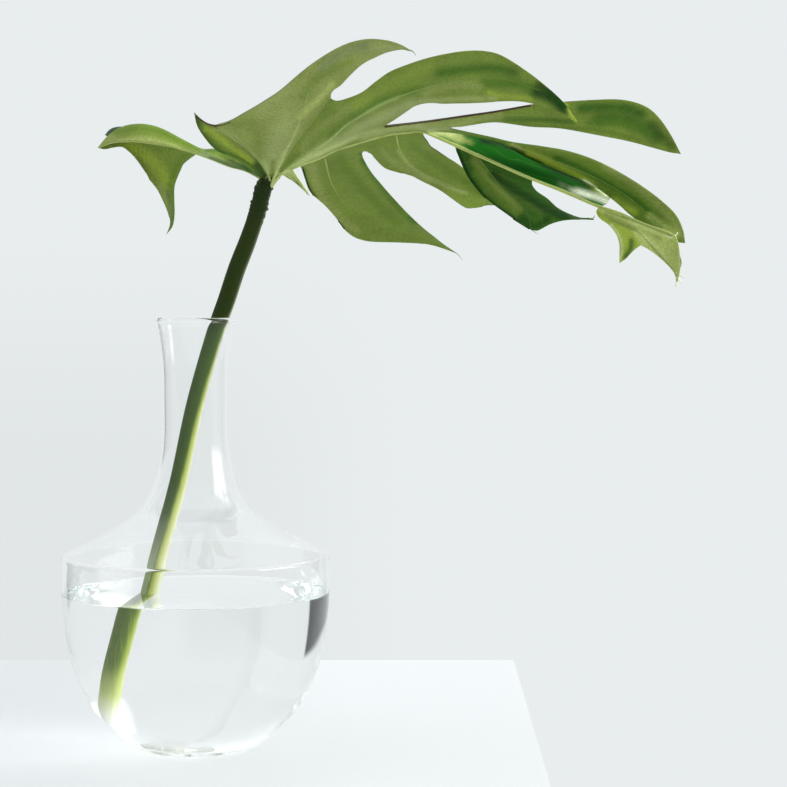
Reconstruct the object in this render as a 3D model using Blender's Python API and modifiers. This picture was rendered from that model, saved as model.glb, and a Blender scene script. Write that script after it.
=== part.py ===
"""A cut monstera leaf standing in a clear glass carafe of water.

Metres, +Z up, origin at the middle of the carafe's foot. The leaf spreads along X and its under side
faces -Y.
"""

import math

import bmesh
import bpy
import numpy as np
from mathutils import Vector

# Driving dimensions of the carafe, in metres
VASE_HEIGHT = 0.239
FOOT_RADIUS = 0.0232
SHOULDER_RADIUS = 0.0736
SHOULDER_HEIGHT = 0.1085
NECK_RADIUS = 0.0180
LIP_RADIUS = 0.0222
WALL = 0.0020
FLOOR_THICKNESS = 0.0045
BOWL_TOP = 0.0842
WATER_HEIGHT = 0.0878
TURN_STEPS = 40
RIM_STEP = 0.0004
RIM_RISE = 0.0002
MENISCUS_RISE = 0.0008
MENISCUS_WIDTH = 0.003

# Driving dimensions of the leaf, in metres
PETIOLE_RADIUS = 0.0047
PETIOLE_TOP_SHARE = 0.75
KNEE_RADIUS = 0.0037
KNEE_LENGTH = 0.024
KNEE_RINGS = 8
KNEE_RIPPLE = 0.00025
BLADE_THICKNESS = 0.0008
MIDRIB_THICKNESS = 0.0026
VEIN_SHARE = 0.35
RIB_FULL = 5
RIB_SHARE = 0.8
SMOOTHING = 0.4
SMOOTHING_ROUNDS = 2
WELD = 0.00001

GAP = 0.0003

# The leaf's guide points are places as seen from the front: pixels across and down the 787 pixel wide view
# of EYE, and the depth in millimetres behind the carafe's axis. FOCAL is the focal length in those pixels.
EYE = np.array((0.109, -1.427, 0.2744))
PITCH = math.radians(3.1)
FOCAL = 2600.0
VIEW_CENTRE = 393.5

SEAM_ROWS = 4
ARCH = 0.55

# The midrib, from over the petiole to the apex
MIDRIB = [
    (262, 180, 10), (268.5, 180, 9.5), (275, 177.5, 9), (284.6, 173, 8.5), (301.6, 165, 8),
    (319.5, 158, 7), (335, 149.5, 6.5), (352, 144, 6), (385, 133.5, 5), (400, 131, 4),
    (414, 130.3, 3.5), (422, 130.8, 3), (428, 132.3, 3), (438, 136, 2.5), (456, 145, 2),
    (482.5, 157, 1), (509, 169, 0), (536, 180.5, -1), (560, 189.5, -2.5), (591, 203, -4),
    (600, 206.3, -5), (622, 213.7, -7), (642, 222.5, -9), (656, 228, -10.5), (667, 232, -11.5),
    (674, 237.5, -12), (677, 246, -12), (677.5, 257, -11.5), (677.5, 270, -11), (677, 284, -10),
]
APEX_START = 21

# The point of the midrib where its narrow columns meet wide ones: smoothing stays this far off it
FORK = 12
FORK_REACH = 0.009

# Each stretch of midrib between two lobe joints: its first and last point, and its number of columns
STRETCHES = {(0, 1): 6, (1, 2): 8, (2, 7): 8, (7, 11): 8, (11, 12): 4, (12, 20): 8, (20, 21): 4}

# Where two neighbouring lobes are joined: the point of MIDRIB it starts from, then out to the cut's bottom
SEAMS = {
    "near 0-1": (1, [(262, 166, 4), (250, 153, -8), (232, 138, -24), (213, 125.5, -36)]),
    "near 1-2": (2, [(290, 150, -5), (312, 122, -24), (331, 98, -40)]),
    "near 2-3": (7, [(368, 134, -4), (384, 125.3, -12)]),
    "near 3-4": (11, [(434, 128.8, -8), (450, 127.8, -20)]),
    "far 0-1": (1, [(262, 168, 16), (256, 160, 23)]),
    "far 1-2": (2, [(279, 168, 15), (284, 160, 22)]),
    "far 2-3": (7, [(357.5, 147, 9.5), (363.5, 150.5, 13)]),
    "far 5-apex": (21, [(631, 229, -3), (641, 244.5, 4)]),
}

# The lobes. base: first and last point of MIDRIB; middle: the column that follows the centre guide; seams:
# towards the petiole and towards the apex; the three guides run outwards and all end at the tip. In a matched
# lobe, which folds over, the guides' points lie in rows: the first row is level with the bottom of the cuts.
LOBES = [
    {
        "side": "near", "base": (0, 1), "middle": 3, "rows": 5, "seams": (None, "near 0-1"),
        "inner": [(259, 177, 4), (246, 166, -8), (233, 158, -16), (215, 149, -26), (204, 137, -34),
                  (197, 125, -40)],
        "centre": [(260, 168, 2), (249, 157, -9), (232, 146, -21), (212, 134.5, -33), (200, 122, -41)],
        "outer": [(204, 121.5, -41)],
        "tip": (194, 112, -46),
    },
    {
        "side": "near", "base": (1, 2), "middle": 4, "rows": 12, "seams": ("near 0-1", "near 1-2"),
        "inner": [(231, 120, -42), (245, 112, -47), (261, 102.5, -52), (279, 91, -57), (300, 73, -63),
                  (318, 59.5, -68), (336, 48.5, -73), (353, 41.5, -79), (371, 38.7, -85),
                  (389, 40.7, -90), (401, 44.5, -94)],
        "centre": [(272, 166, 2), (272, 146, -16), (273, 124, -32), (281, 106, -45), (298, 89, -54),
                   (318, 73, -61), (340, 59, -69), (366, 48.5, -80), (390, 45.5, -89)],
        "outer": [(331, 94, -42), (333, 89, -44), (340, 84.5, -48), (349, 75.5, -54), (362.5, 63, -64),
                  (376, 56, -74), (389, 51, -82), (403, 48.5, -90)],
        "tip": (411, 50.5, -97),
    },
    {
        "side": "near", "base": (2, 7), "middle": 4, "rows": 16, "seams": ("near 1-2", "near 2-3"),
        "inner": [(336, 100.5, -42), (349, 97.5, -46), (362.5, 91.5, -51), (376, 81, -57),
                  (389, 72, -62), (403, 66, -67), (420.5, 60, -71), (440, 55, -76), (467, 50.8, -82),
                  (485, 51, -86), (500, 54.5, -89), (530, 73, -95), (550, 89.5, -98), (566, 105, -101)],
        "centre": [(325, 144, -10), (343, 128, -22), (362.5, 114, -34), (380, 104, -43), (398, 96, -50),
                   (416, 89, -57), (440, 82, -64), (480, 75, -76), (510, 76, -86), (540, 89, -95),
                   (562, 106, -101)],
        "outer": [(394, 119, -20), (407, 110, -28), (416, 104.5, -34), (429, 102, -42), (445, 103, -50),
                  (480, 102.5, -64), (507, 100.7, -76), (525, 101.6, -84), (548, 107.5, -94),
                  (565, 114, -100)],
        "tip": (578, 123, -103),
    },
    {
        "side": "near", "base": (7, 11), "middle": 4, "rows": 14, "seams": ("near 2-3", "near 3-4"),
        "inner": [(407, 122.5, -18), (436, 119, -24), (471, 114, -31), (498, 110, -37),
                  (532, 104.2, -44), (570, 101.3, -51), (595, 99.8, -55), (620, 99.5, -59),
                  (636, 102.5, -61), (650, 109, -63), (661, 120, -65), (671, 135, -67)],
        "centre": [(400, 129, -4), (425, 124.5, -16), (450, 121.5, -23), (480, 118, -30),
                   (510, 115.5, -36), (540, 115, -42), (580, 117, -50), (620, 122, -57),
                   (650, 133, -63), (668, 145, -66)],
        "outer": [(471, 124.5, -22), (489, 121.5, -26), (503, 121.5, -30), (516, 124, -33),
                  (532, 126, -36), (560, 128, -43), (600, 135.5, -52), (630, 141.5, -58),
                  (665, 150.5, -65)],
        "tip": (681, 154, -70),
    },
    {
        "side": "near", "base": (11, 12), "middle": 2, "rows": 18, "seams": ("near 3-4", None),
        "inner": [(470, 132.5, -18), (491, 137, -16), (512, 142, -13), (540, 146, -11), (565, 150, -8),
                  (591, 158, -5), (616, 170, -2), (642, 186, 1), (662, 201, 3), (676, 215, 5),
                  (683, 230, 6.5)],
        "centre": [(433, 130.2, -5.5), (446, 129.8, -11.5), (458, 131, -12), (470, 133.6, -10.5),
                   (491, 138.1, -8.5), (512, 144.8, -6), (540, 154, -4), (565, 163, -2), (591, 173, 0),
                   (606, 182, 1.5), (627, 195, 3), (642, 208, 4), (657, 221, 5), (672, 234, 6.5)],
        "outer": [(434, 131.2, -2), (445, 131, -4.5), (458, 132.4, -5), (470, 134.9, -4),
                  (491, 139.3, -2), (505, 143.4, 0), (512, 148, 1.5), (532, 158.6, 4), (560, 170, 5),
                  (581, 179, 5), (601, 190, 5), (611, 198, 5), (620, 205.5, 5), (628, 213, 5),
                  (642, 224, 5), (657, 234, 5.5), (671, 241, 7)],
        "tip": (685, 243, 8),
    },
    {
        "side": "far", "base": (0, 1), "middle": 3, "rows": 20, "seams": (None, "far 0-1"),
        "matched": True,
        "inner": [(256, 176.5, 12), (244, 170.5, 14), (230, 167, 15), (215, 161, 16), (203, 156.5, 17),
                  (194, 153.5, 17), (184, 150.5, 16), (173, 147, 14), (163, 145.3, 13), (154, 144, 12),
                  (146, 143, 12), (139, 142, 12), (133, 141.6, 12.3), (127, 141.5, 13),
                  (122, 141.7, 14.5), (117, 142, 16), (112, 142.8, 18), (108, 143.8, 19.5),
                  (105, 145, 21), (102, 146, 23)],
        "centre": [(254, 169, 18), (242, 161.5, 20), (228, 157, 21), (214, 152.5, 22), (202, 149.5, 22),
                   (192, 143.5, 22), (182, 137.5, 22.5), (172, 131.5, 23.5), (162, 126.5, 25),
                   (153, 123.3, 26), (145, 122, 27), (138, 121.8, 28), (132, 122, 28.5), (127, 123, 29),
                   (122, 124.5, 29), (117.5, 126.5, 29), (113, 129.5, 28.5), (109, 133, 28),
                   (105.5, 137, 27), (102.5, 141, 26.5)],
        "outer": [(240, 154, 26), (228, 151, 27.5), (218, 149, 28), (208, 148.8, 28),
                  (200, 151.5, 28.5), (193, 156, 30.5), (185.5, 162, 33), (179, 169.5, 36),
                  (174, 175, 38.5), (168, 179, 40), (162, 181, 41.5), (156.5, 181, 41.8),
                  (152, 176.5, 40.5), (147, 168.5, 38), (141.5, 162, 36), (136, 157.5, 34.5),
                  (129, 151.5, 32.5), (122, 147, 31), (113, 147.5, 29.5), (105, 149, 28)],
        "tip": (98, 148, 25),
    },
    {
        "side": "far", "base": (1, 2), "middle": 4, "rows": 8, "seams": ("far 0-1", "far 1-2"),
        "inner": [(250, 150, 40), (254, 152, 58), (264, 163, 74), (284, 176, 86), (295, 187, 90)],
        "centre": [(264, 155, 34), (264, 144, 50), (268, 150, 66), (277, 162, 80), (289, 174, 88),
                   (300, 185, 92.5)],
        "outer": [(286, 146, 38), (284, 140, 54), (284, 150, 70), (292, 169.5, 86), (304.5, 182.5, 91.5)],
        "tip": (309.5, 194.5, 94),
    },
    {
        "side": "far", "base": (2, 7), "middle": 5, "rows": 12, "seams": ("far 1-2", "far 2-3"),
        "inner": [(294, 158, 32), (301, 166, 44), (305, 177.5, 52), (310, 191, 58), (325, 205, 64),
                  (337, 219, 69), (345, 230, 72), (355, 237, 75), (367, 240.5, 77), (400, 242, 80),
                  (430, 244, 82), (443, 248, 83)],
        "centre": [(318, 154, 20), (328, 160, 34), (337, 180, 48), (352, 203, 60), (375, 219, 70),
                   (405, 231, 76), (431, 240.5, 80), (444, 246.8, 82)],
        "outer": [(362, 154, 18), (370, 170, 32), (382, 185, 44), (395, 200, 54), (420, 225, 68),
                  (435, 237.5, 75), (445, 245.3, 80)],
        "tip": (455, 252, 84),
    },
    {
        "side": "far", "base": (7, 11), "middle": 4, "rows": 12, "seams": ("far 2-3", None),
        "inner": [(370, 152, 16), (375, 158, 22), (385, 167.5, 30), (397, 172, 34), (410, 175, 38),
                  (422, 181, 43), (438, 189, 50), (451, 198, 56), (460, 204.5, 60), (467, 208, 63),
                  (478, 206.5, 66), (489, 205.5, 67)],
        "centre": [(399, 142, 12), (404, 154, 22), (418, 168, 34), (438, 179, 45), (456, 187, 54),
                   (474, 194, 62), (492, 201, 68)],
        "outer": [(424, 136, 5), (427.5, 141, 9), (430.5, 146, 14), (438, 151, 24), (447, 157, 34),
                  (462, 167, 46), (480, 183, 58), (497, 196, 67)],
        "tip": (505, 206, 71),
    },
    {
        "side": "far", "base": (11, 20), "middle": 8, "rows": 16, "seams": (None, None), "matched": True,
        "inner": [(428.5, 128.4, 8.5), (440, 128.0, 14), (450, 129.5, 20), (454.5, 137, 26),
                  (455.7, 148.4, 30), (460, 158, 32), (466, 172.5, 34), (482.5, 195, 38),
                  (505, 213, 43), (530, 229, 50), (537, 230.5, 52), (549, 223.5, 55), (562, 219.3, 57.5)],
        "centre": [(509, 156, 7), (503, 144, 14), (497, 139.5, 20), (492, 146, 27), (489, 160, 31),
                   (492, 174, 33), (500, 187, 36), (512, 200, 41), (528, 210, 46), (545, 214, 51),
                   (556, 215.5, 54), (569, 217.5, 57), (580, 218.3, 58.5)],
        "outer": [(607, 203, 2), (611, 194, 9), (603, 183, 15), (585, 175, 21), (560, 171, 26),
                  (538, 172, 30), (531, 180, 33), (536, 189, 36), (547, 198, 41), (558, 208, 47),
                  (571, 214.5, 53), (580, 217.5, 56.5), (588, 218.5, 58.5)],
        "tip": (594, 219, 60),
    },
    {
        "side": "far", "base": (20, 21), "middle": 2, "rows": 7, "seams": (None, "far 5-apex"),
        "inner": [(600.5, 213, -2.5), (599, 217.5, -1.5), (601, 219.5, 0), (606, 222, 2), (613, 228, 6),
                  (618, 236, 10), (620, 245, 14), (619.5, 255, 18)],
        "centre": [(615, 218, -2), (623, 229, 3), (628, 240, 8), (627, 249, 13.5), (623.5, 256.5, 18)],
        "outer": [(633.5, 250.5, 11), (627, 257.5, 17)],
        "tip": (619.5, 263, 22),
    },
]

# The thin tail that hangs from the far margin of the lobe LOBES[TAIL_LOBE], between two of its rows
TAIL_LOBE = 5
TAIL_ROOT = (SEAM_ROWS + 7, SEAM_ROWS + 11)
TAIL_ROWS = 7
TAIL = {
    "inner": [(159, 189, 43), (163.5, 200, 46), (167.5, 212, 48), (169, 223, 49.5)],
    "centre": [(167, 187, 42.5), (169, 200, 46), (171, 212.5, 48), (170.8, 225, 50)],
    "outer": [(175, 185, 41), (174.2, 199, 45.5), (174.7, 212.5, 48), (172.7, 226, 50)],
    "tip": (166, 235, 51),
}

# The narrow strip of blade that is left along the near side of the midrib, past the last near lobe
STRIP_BASE = (12, 21)
STRIP_ROWS = 2
STRIP_REACH = np.array((0.0, -0.004, 0.0005))

# The pointed end of the leaf beyond the last lobes: its near and far margins, out to the apex
APEX_ROWS = 10
APEX_NEAR = [(640, 221, -16), (655, 226.5, -20), (668, 231, -22), (676, 236.5, -22), (679, 246, -20),
             (680, 258, -17), (680, 270, -13)]
APEX_FAR = [(650, 249.5, 3), (662.5, 259.5, 0), (672, 269, -4), (676, 276, -7)]

# The petiole's centre line, from the knee under the blade down to its cut end in the water
PETIOLE = [
    (265, 184.2, 9.3), (262, 190, 9.1), (258, 205, 9.0), (253, 222, 8.9), (246, 243, 8.8),
    (236, 270, 8.4), (226.5, 300, 7.8), (218, 323, 7.2), (194.5, 402, 4.6), (179, 484, 2),
    (160, 555.5, 0), (146, 610, -1.2), (137, 650, -2), (129, 690, -2.4), (123.5, 718, -2.6),
]


def seen(across, down, depth):
    """The place in metres that is seen at this pixel, this many millimetres behind the carafe's axis."""
    right = (across - VIEW_CENTRE) / FOCAL
    up = (VIEW_CENTRE - down) / FOCAL
    ray = np.array((
        right,
        math.cos(PITCH) + up * math.sin(PITCH),
        -math.sin(PITCH) + up * math.cos(PITCH),
    ))
    return EYE + ray * (depth / 1000 - EYE[1]) / ray[1]


def curve_through(points, positions):
    """A centripetal Catmull-Rom curve through the points, read at positions: point number i is at i."""
    points = np.asarray(points, float)
    padded = np.vstack((2 * points[0] - points[1], points, 2 * points[-1] - points[-2]))
    read = []
    for position in positions:
        i = min(int(position), len(points) - 2)
        p = padded[i:i + 4]
        knots = np.concatenate(([0], np.cumsum(np.linalg.norm(np.diff(p, axis=0), axis=1) ** 0.5)))
        t = knots[1] + (position - i) * (knots[2] - knots[1])
        for starts, ends in (((0, 1, 2), (1, 2, 3)), ((0, 1), (2, 3)), ((1,), (2,))):
            lower, upper = knots[list(starts)], knots[list(ends)]
            weight = ((t - lower) / (upper - lower))[:, None]
            p = p[:-1] * (1 - weight) + p[1:] * weight
        read.append(p[0])
    return np.array(read)


def along(points, count):
    """count + 1 places spread evenly along the curve through the points."""
    fine = curve_through(points, np.linspace(0, len(points) - 1, 24 * (len(points) - 1) + 1))
    run = np.concatenate(([0], np.cumsum(np.linalg.norm(np.diff(fine, axis=0), axis=1))))
    wanted = np.linspace(0, run[-1], count + 1)
    return np.column_stack([np.interp(wanted, run, fine[:, k]) for k in range(3)])


def places(guide):
    return [seen(*point) for point in guide]


MIDRIB_PLACES = np.array(places(MIDRIB))


def midrib_base(base):
    """The columns' starting places on the midrib, from one lobe joint to another."""
    rows = []
    for (start, end), columns in sorted(STRETCHES.items()):
        if base[0] <= start and end <= base[1]:
            stations = np.linspace(start, end, columns + 1)[len(rows) > 0:]
            rows.append(curve_through(MIDRIB_PLACES, stations))
    return np.vstack(rows)


def seam(name):
    start, guide = SEAMS[name]
    return along([MIDRIB_PLACES[start]] + places(guide), SEAM_ROWS)


def guide_rows(start, seam_name, guide, tip, rows, matched):
    """One guide of a lobe: the seam, if it has one, and then the free edge or centre out to the tip."""
    if seam_name is not None:
        joined = seam(seam_name)
        points = [joined[-1]] + places(guide) + [tip]
    elif matched:
        points = places(guide) + [tip]
        joined = along([start, points[0]], SEAM_ROWS)
    else:
        return along([start] + places(guide) + [tip], SEAM_ROWS + rows)
    if matched:
        free = curve_through(points, np.linspace(0, len(points) - 1, rows + 1))
    else:
        free = along(points, rows)
    return np.vstack((joined, free[1:]))


def column_shares(base, middle, rows, matched):
    """How far each column lies from the centre guide, -1 to 1: as on the base, and then evenly."""
    run = np.concatenate(([0], np.cumsum(np.linalg.norm(np.diff(base, axis=0), axis=1))))
    ends = run[0], run[middle], run[-1]
    on_base = np.interp(run, ends, (-1, 0, 1))
    even = np.interp(np.arange(len(base)), (0, middle, len(base) - 1), (-1, 0, 1))
    keep = (1 - np.linspace(0, 1, rows)) ** (2 if matched else 3)
    return (even + (on_base - even) * keep[:, None])[:, :, None]


def spread(inner, centre, outer, t):
    """Fills each row of a lobe between its guides, with a soft arch over the centre that ends at the tip."""
    inner, centre, outer = inner[:, None], centre[:, None], outer[:, None]
    straight = np.where(t < 0, centre + (centre - inner) * t, centre + (outer - centre) * t)
    arched = centre + (outer - inner) * t / 2 + ((outer + inner) / 2 - centre) * t * t
    arch = ARCH * (1 - np.linspace(0, 1, len(inner)) ** 2)[:, None, None]
    return straight + (arched - straight) * arch


def settle(grid, base, power):
    """Moves a grid's first row onto its base, and the rows after it less and less."""
    fade = (1 - np.linspace(0, 1, len(grid)))[:, None, None] ** power
    return grid + (base - grid[0])[None] * fade


def lobe_grid(lobe):
    base = midrib_base(lobe["base"])
    tip = seen(*lobe["tip"])
    rows, matched = lobe["rows"], lobe.get("matched", False)
    inner = guide_rows(base[0], lobe["seams"][0], lobe["inner"], tip, rows, matched)
    outer = guide_rows(base[-1], lobe["seams"][1], lobe["outer"], tip, rows, matched)
    centre = guide_rows(base[lobe["middle"]], None, lobe["centre"], tip, rows, matched)
    shares = column_shares(base, lobe["middle"], len(centre), matched)
    return settle(spread(inner, centre, outer, shares), base, 3)


def tail_grid(base):
    """The tail's rows. base is the stretch of lobe margin that it hangs from."""
    middle = (len(base) - 1) // 2
    ends = [(0, "inner"), (middle, "centre"), (-1, "outer")]
    guides = [along([base[i]] + places(TAIL[name]) + [seen(*TAIL["tip"])], TAIL_ROWS) for i, name in ends]
    return settle(spread(*guides, column_shares(base, middle, TAIL_ROWS + 1, False)), base, 2)


def strip_grid():
    """The narrow near strip, which widens from nothing behind the last near lobe."""
    base = midrib_base(STRIP_BASE)
    width = np.clip((np.arange(len(base)) - 2) / 3, 0, 1)[None, :, None]
    out = np.linspace(0, 1, STRIP_ROWS + 1)[:, None, None]
    return base[None] + STRIP_REACH * width * out


def apex_grid(edge, joined):
    """The blade between the midrib's end and one margin of the apex. joined is the row it starts from."""
    ridge = curve_through(MIDRIB_PLACES, np.linspace(APEX_START, len(MIDRIB) - 1, APEX_ROWS + 1))
    margin = along([joined[-1]] + places(edge) + [MIDRIB_PLACES[-1]], APEX_ROWS)
    t = np.linspace(0, 1, len(joined))[None, :, None]
    return settle(ridge[:, None] * (1 - t) + margin[:, None] * t, joined, 2)


def add_grid(bm, grid, weights, rib, flip):
    """Adds one lobe's rows of triangles, with each vertex's share of a rib's thickness."""
    verts = [[bm.verts.new(place) for place in row] for row in grid]
    for row, row_weights in zip(verts, weights):
        for vert, weight in zip(row, row_weights):
            vert[rib] = weight
    for i in range(len(verts) - 1):
        for j in range(len(verts[0]) - 1):
            a, b = verts[i][j], verts[i][j + 1]
            c, d = verts[i + 1][j + 1], verts[i + 1][j]
            for corners in ((a, b, c), (a, c, d)):
                bm.faces.new(corners[::-1] if flip else corners)


def rib_weights(shape, middle, base_shares):
    """Each vertex's share of a rib's thickness: along the base row, and along the middle column."""
    weights = np.zeros(shape)
    weights[:, middle] = VEIN_SHARE * np.sin(np.linspace(0, math.pi, shape[0]))
    weights[0, :] = base_shares
    return weights


def midrib_shares(base, count):
    """The midrib thins from its thickest place, RIB_FULL, towards the apex and towards the petiole."""
    station = np.linspace(base[0], base[1], count)
    towards_apex = 1 - (station - RIB_FULL) / (len(MIDRIB) - 1 - RIB_FULL)
    return np.clip(np.minimum(towards_apex, station / RIB_FULL), 0, 1) * RIB_SHARE


def blade_sheet():
    """The whole blade as one open sheet of triangles facing up, joined along the midrib and the seams."""
    bm = bmesh.new()
    rib = bm.verts.layers.float.new("rib")
    grids = [lobe_grid(lobe) for lobe in LOBES]
    for lobe, grid in zip(LOBES, grids):
        weights = rib_weights(grid.shape[:2], lobe["middle"], midrib_shares(lobe["base"], grid.shape[1]))
        add_grid(bm, grid, weights, rib, lobe["side"] == "near")
    tail = tail_grid(grids[TAIL_LOBE][TAIL_ROOT[0]:TAIL_ROOT[1] + 1, -1][::-1])
    strip = strip_grid()
    apex_far = apex_grid(APEX_FAR, seam("far 5-apex"))
    apex_near = apex_grid(APEX_NEAR, strip[:, -1])
    for grid, flip in ((tail, False), (strip, True), (apex_far, True), (apex_near, False)):
        add_grid(bm, grid, np.zeros(grid.shape[:2]), rib, flip)
    bmesh.ops.remove_doubles(bm, verts=bm.verts[:], dist=WELD)
    bmesh.ops.dissolve_degenerate(bm, edges=bm.edges[:], dist=WELD / 10)
    fork = Vector(MIDRIB_PLACES[FORK])
    inside = [v for v in bm.verts if not v.is_boundary and (v.co - fork).length > FORK_REACH
              and not any(edge.other_vert(v).is_boundary for edge in v.link_edges)]
    for _ in range(SMOOTHING_ROUNDS):
        bmesh.ops.smooth_vert(
            bm, verts=inside, factor=SMOOTHING, use_axis_x=True, use_axis_y=True, use_axis_z=True
        )
    return bm, rib


def principled(name, colour, roughness, alpha=1.0, transmission=0.0):
    material = bpy.data.materials.new(name)
    material.use_nodes = True
    shader = material.node_tree.nodes["Principled BSDF"]
    shader.inputs["Base Color"].default_value = (*colour, 1.0)
    shader.inputs["Roughness"].default_value = roughness
    shader.inputs["Alpha"].default_value = alpha
    shader.inputs["Transmission Weight"].default_value = transmission
    return material


def add_object(name, mesh, collection, material):
    obj = bpy.data.objects.new(name, mesh)
    collection.objects.link(obj)
    mesh.materials.append(material)
    return obj


def make_blade(collection, material):
    bm, rib = blade_sheet()
    mesh = bpy.data.meshes.new("leaf_blade")
    shares = [vert[rib] for vert in bm.verts]
    bm.to_mesh(mesh)
    bm.free()
    obj = add_object("leaf_blade", mesh, collection, material)
    group = obj.vertex_groups.new(name="ribs")
    for index, share in enumerate(shares):
        group.add([index], share, "REPLACE")
    solid = obj.modifiers.new("Thickness", "SOLIDIFY")
    solid.thickness = MIDRIB_THICKNESS
    solid.offset = -1
    solid.vertex_group = "ribs"
    solid.thickness_vertex_group = BLADE_THICKNESS / MIDRIB_THICKNESS
    return obj


def petiole_radius(run):
    """The petiole's radius this far, in metres, below its top: a wrinkled knee, then a plain stalk."""
    if run > KNEE_LENGTH:
        blend = min((run - KNEE_LENGTH) / KNEE_LENGTH, 1)
        return KNEE_RADIUS + (PETIOLE_RADIUS - KNEE_RADIUS) * blend
    ripple = KNEE_RIPPLE * math.sin(2 * math.pi * KNEE_RINGS * run / KNEE_LENGTH)
    shrink = PETIOLE_TOP_SHARE + (1 - PETIOLE_TOP_SHARE) * min(4 * run / KNEE_LENGTH, 1)
    return (KNEE_RADIUS + ripple) * shrink


def tube_mesh(name, centre_line, radii, resolution):
    """A closed tube along a centre line, by a bevelled curve whose caps are welded on."""
    data = bpy.data.curves.new(name, "CURVE")
    data.dimensions = "3D"
    data.bevel_depth = 1.0
    data.bevel_resolution = resolution
    data.use_fill_caps = True
    spline = data.splines.new("POLY")
    spline.points.add(len(centre_line) - 1)
    for point, place, radius in zip(spline.points, centre_line, radii):
        point.co = (*place, 1)
        point.radius = radius
    obj = bpy.data.objects.new(name, data)
    bpy.context.scene.collection.objects.link(obj)
    bpy.context.view_layer.update()
    mesh = bpy.data.meshes.new_from_object(obj.evaluated_get(bpy.context.evaluated_depsgraph_get()))
    bm = bmesh.new()
    bm.from_mesh(mesh)
    bmesh.ops.remove_doubles(bm, verts=bm.verts[:], dist=WELD)
    bmesh.ops.recalc_face_normals(bm, faces=bm.faces[:])
    bm.to_mesh(mesh)
    bm.free()
    bpy.data.objects.remove(obj)
    mesh.name = name
    mesh.materials.clear()
    return mesh


def petiole_line():
    """Places down the petiole, close together at the knee, and how far each is from the top."""
    fine = along(places(PETIOLE), 400)
    run = np.concatenate(([0], np.cumsum(np.linalg.norm(np.diff(fine, axis=0), axis=1))))
    knee = np.linspace(0, KNEE_LENGTH, 4 * KNEE_RINGS + 1)
    stalk = np.linspace(KNEE_LENGTH, run[-1], 26)[1:]
    wanted = np.concatenate((knee, stalk))
    line = np.column_stack([np.interp(wanted, run, fine[:, k]) for k in range(3)])
    return line, wanted


def make_petiole(collection, material):
    line, runs = petiole_line()
    mesh = tube_mesh("petiole", line, [petiole_radius(run) for run in runs], 4)
    return add_object("petiole", mesh, collection, material)


def turned(name, profile, collection, material):
    """A profile of (radius, height) points turned round the vertical axis."""
    mesh = bpy.data.meshes.new(name)
    mesh.from_pydata([(r, 0, z) for r, z in profile], [(i, i + 1) for i in range(len(profile) - 1)], [])
    obj = add_object(name, mesh, collection, material)
    screw = obj.modifiers.new("Turn", "SCREW")
    screw.axis = "Z"
    screw.steps = screw.render_steps = TURN_STEPS
    screw.use_merge_vertices = True
    screw.merge_threshold = 5 * WELD
    screw.use_smooth_shade = True
    return obj


def smooth_profile(points, steps):
    flat = [(r, 0, z) for r, z in points]
    curve = curve_through(flat, np.linspace(0, len(flat) - 1, steps * (len(flat) - 1) + 1))
    return [(max(p[0], 0), p[2]) for p in curve]


# The carafe's outer outline below the lip, as (radius, height): lip to shoulder, then shoulder to foot
NECK_OUTLINE = [
    (LIP_RADIUS, VASE_HEIGHT), (0.0202, 0.228), (0.0183, 0.213), (NECK_RADIUS, 0.192),
    (NECK_RADIUS, 0.1755), (0.0191, 0.163), (0.0221, 0.1497), (0.0259, 0.1407), (0.0314, 0.1326),
    (0.0422, 0.1246), (0.0590, 0.1150),
    (SHOULDER_RADIUS - 0.0004, SHOULDER_HEIGHT),
]
BOWL_OUTLINE = [
    (SHOULDER_RADIUS, SHOULDER_HEIGHT - 0.0012), (SHOULDER_RADIUS, BOWL_TOP), (0.0714, 0.064),
    (0.0680, 0.0470), (0.0633, 0.0355), (0.0575, 0.0250), (0.0494, 0.0157), (0.0383, 0.0055),
    (0.0312, 0.0015), (FOOT_RADIUS, 0.0),
]


def offset_inwards(outline, distance):
    """The outline moved to its inner side by the wall's thickness."""
    points = np.array(outline)
    run = np.gradient(points, axis=0)
    run /= np.linalg.norm(run, axis=1)[:, None]
    normal = np.column_stack((run[:, 1], -run[:, 0]))
    return points + normal * distance


def vase_outlines():
    """The outer outline from lip to foot, and the inner one from lip to the middle of the floor."""
    outer = NECK_OUTLINE + smooth_profile(BOWL_OUTLINE, 2)
    wall = [p for p in offset_inwards(outer, WALL) if p[1] > FLOOR_THICKNESS]
    inner = [(r, z) for r, z in wall if not (r > SHOULDER_RADIUS - WALL and z > SHOULDER_HEIGHT - WALL)]
    inner[0] = (LIP_RADIUS - WALL * 0.8, VASE_HEIGHT - RIM_STEP)
    return outer, inner


def make_vase(collection, material):
    outer, inner = vase_outlines()
    rim = [(LIP_RADIUS - WALL * 0.4, VASE_HEIGHT + RIM_RISE)]
    profile = [(0, FLOOR_THICKNESS)] + inner[::-1] + rim + outer + [(0, 0)]
    return turned("vase", profile, collection, material)


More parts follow.
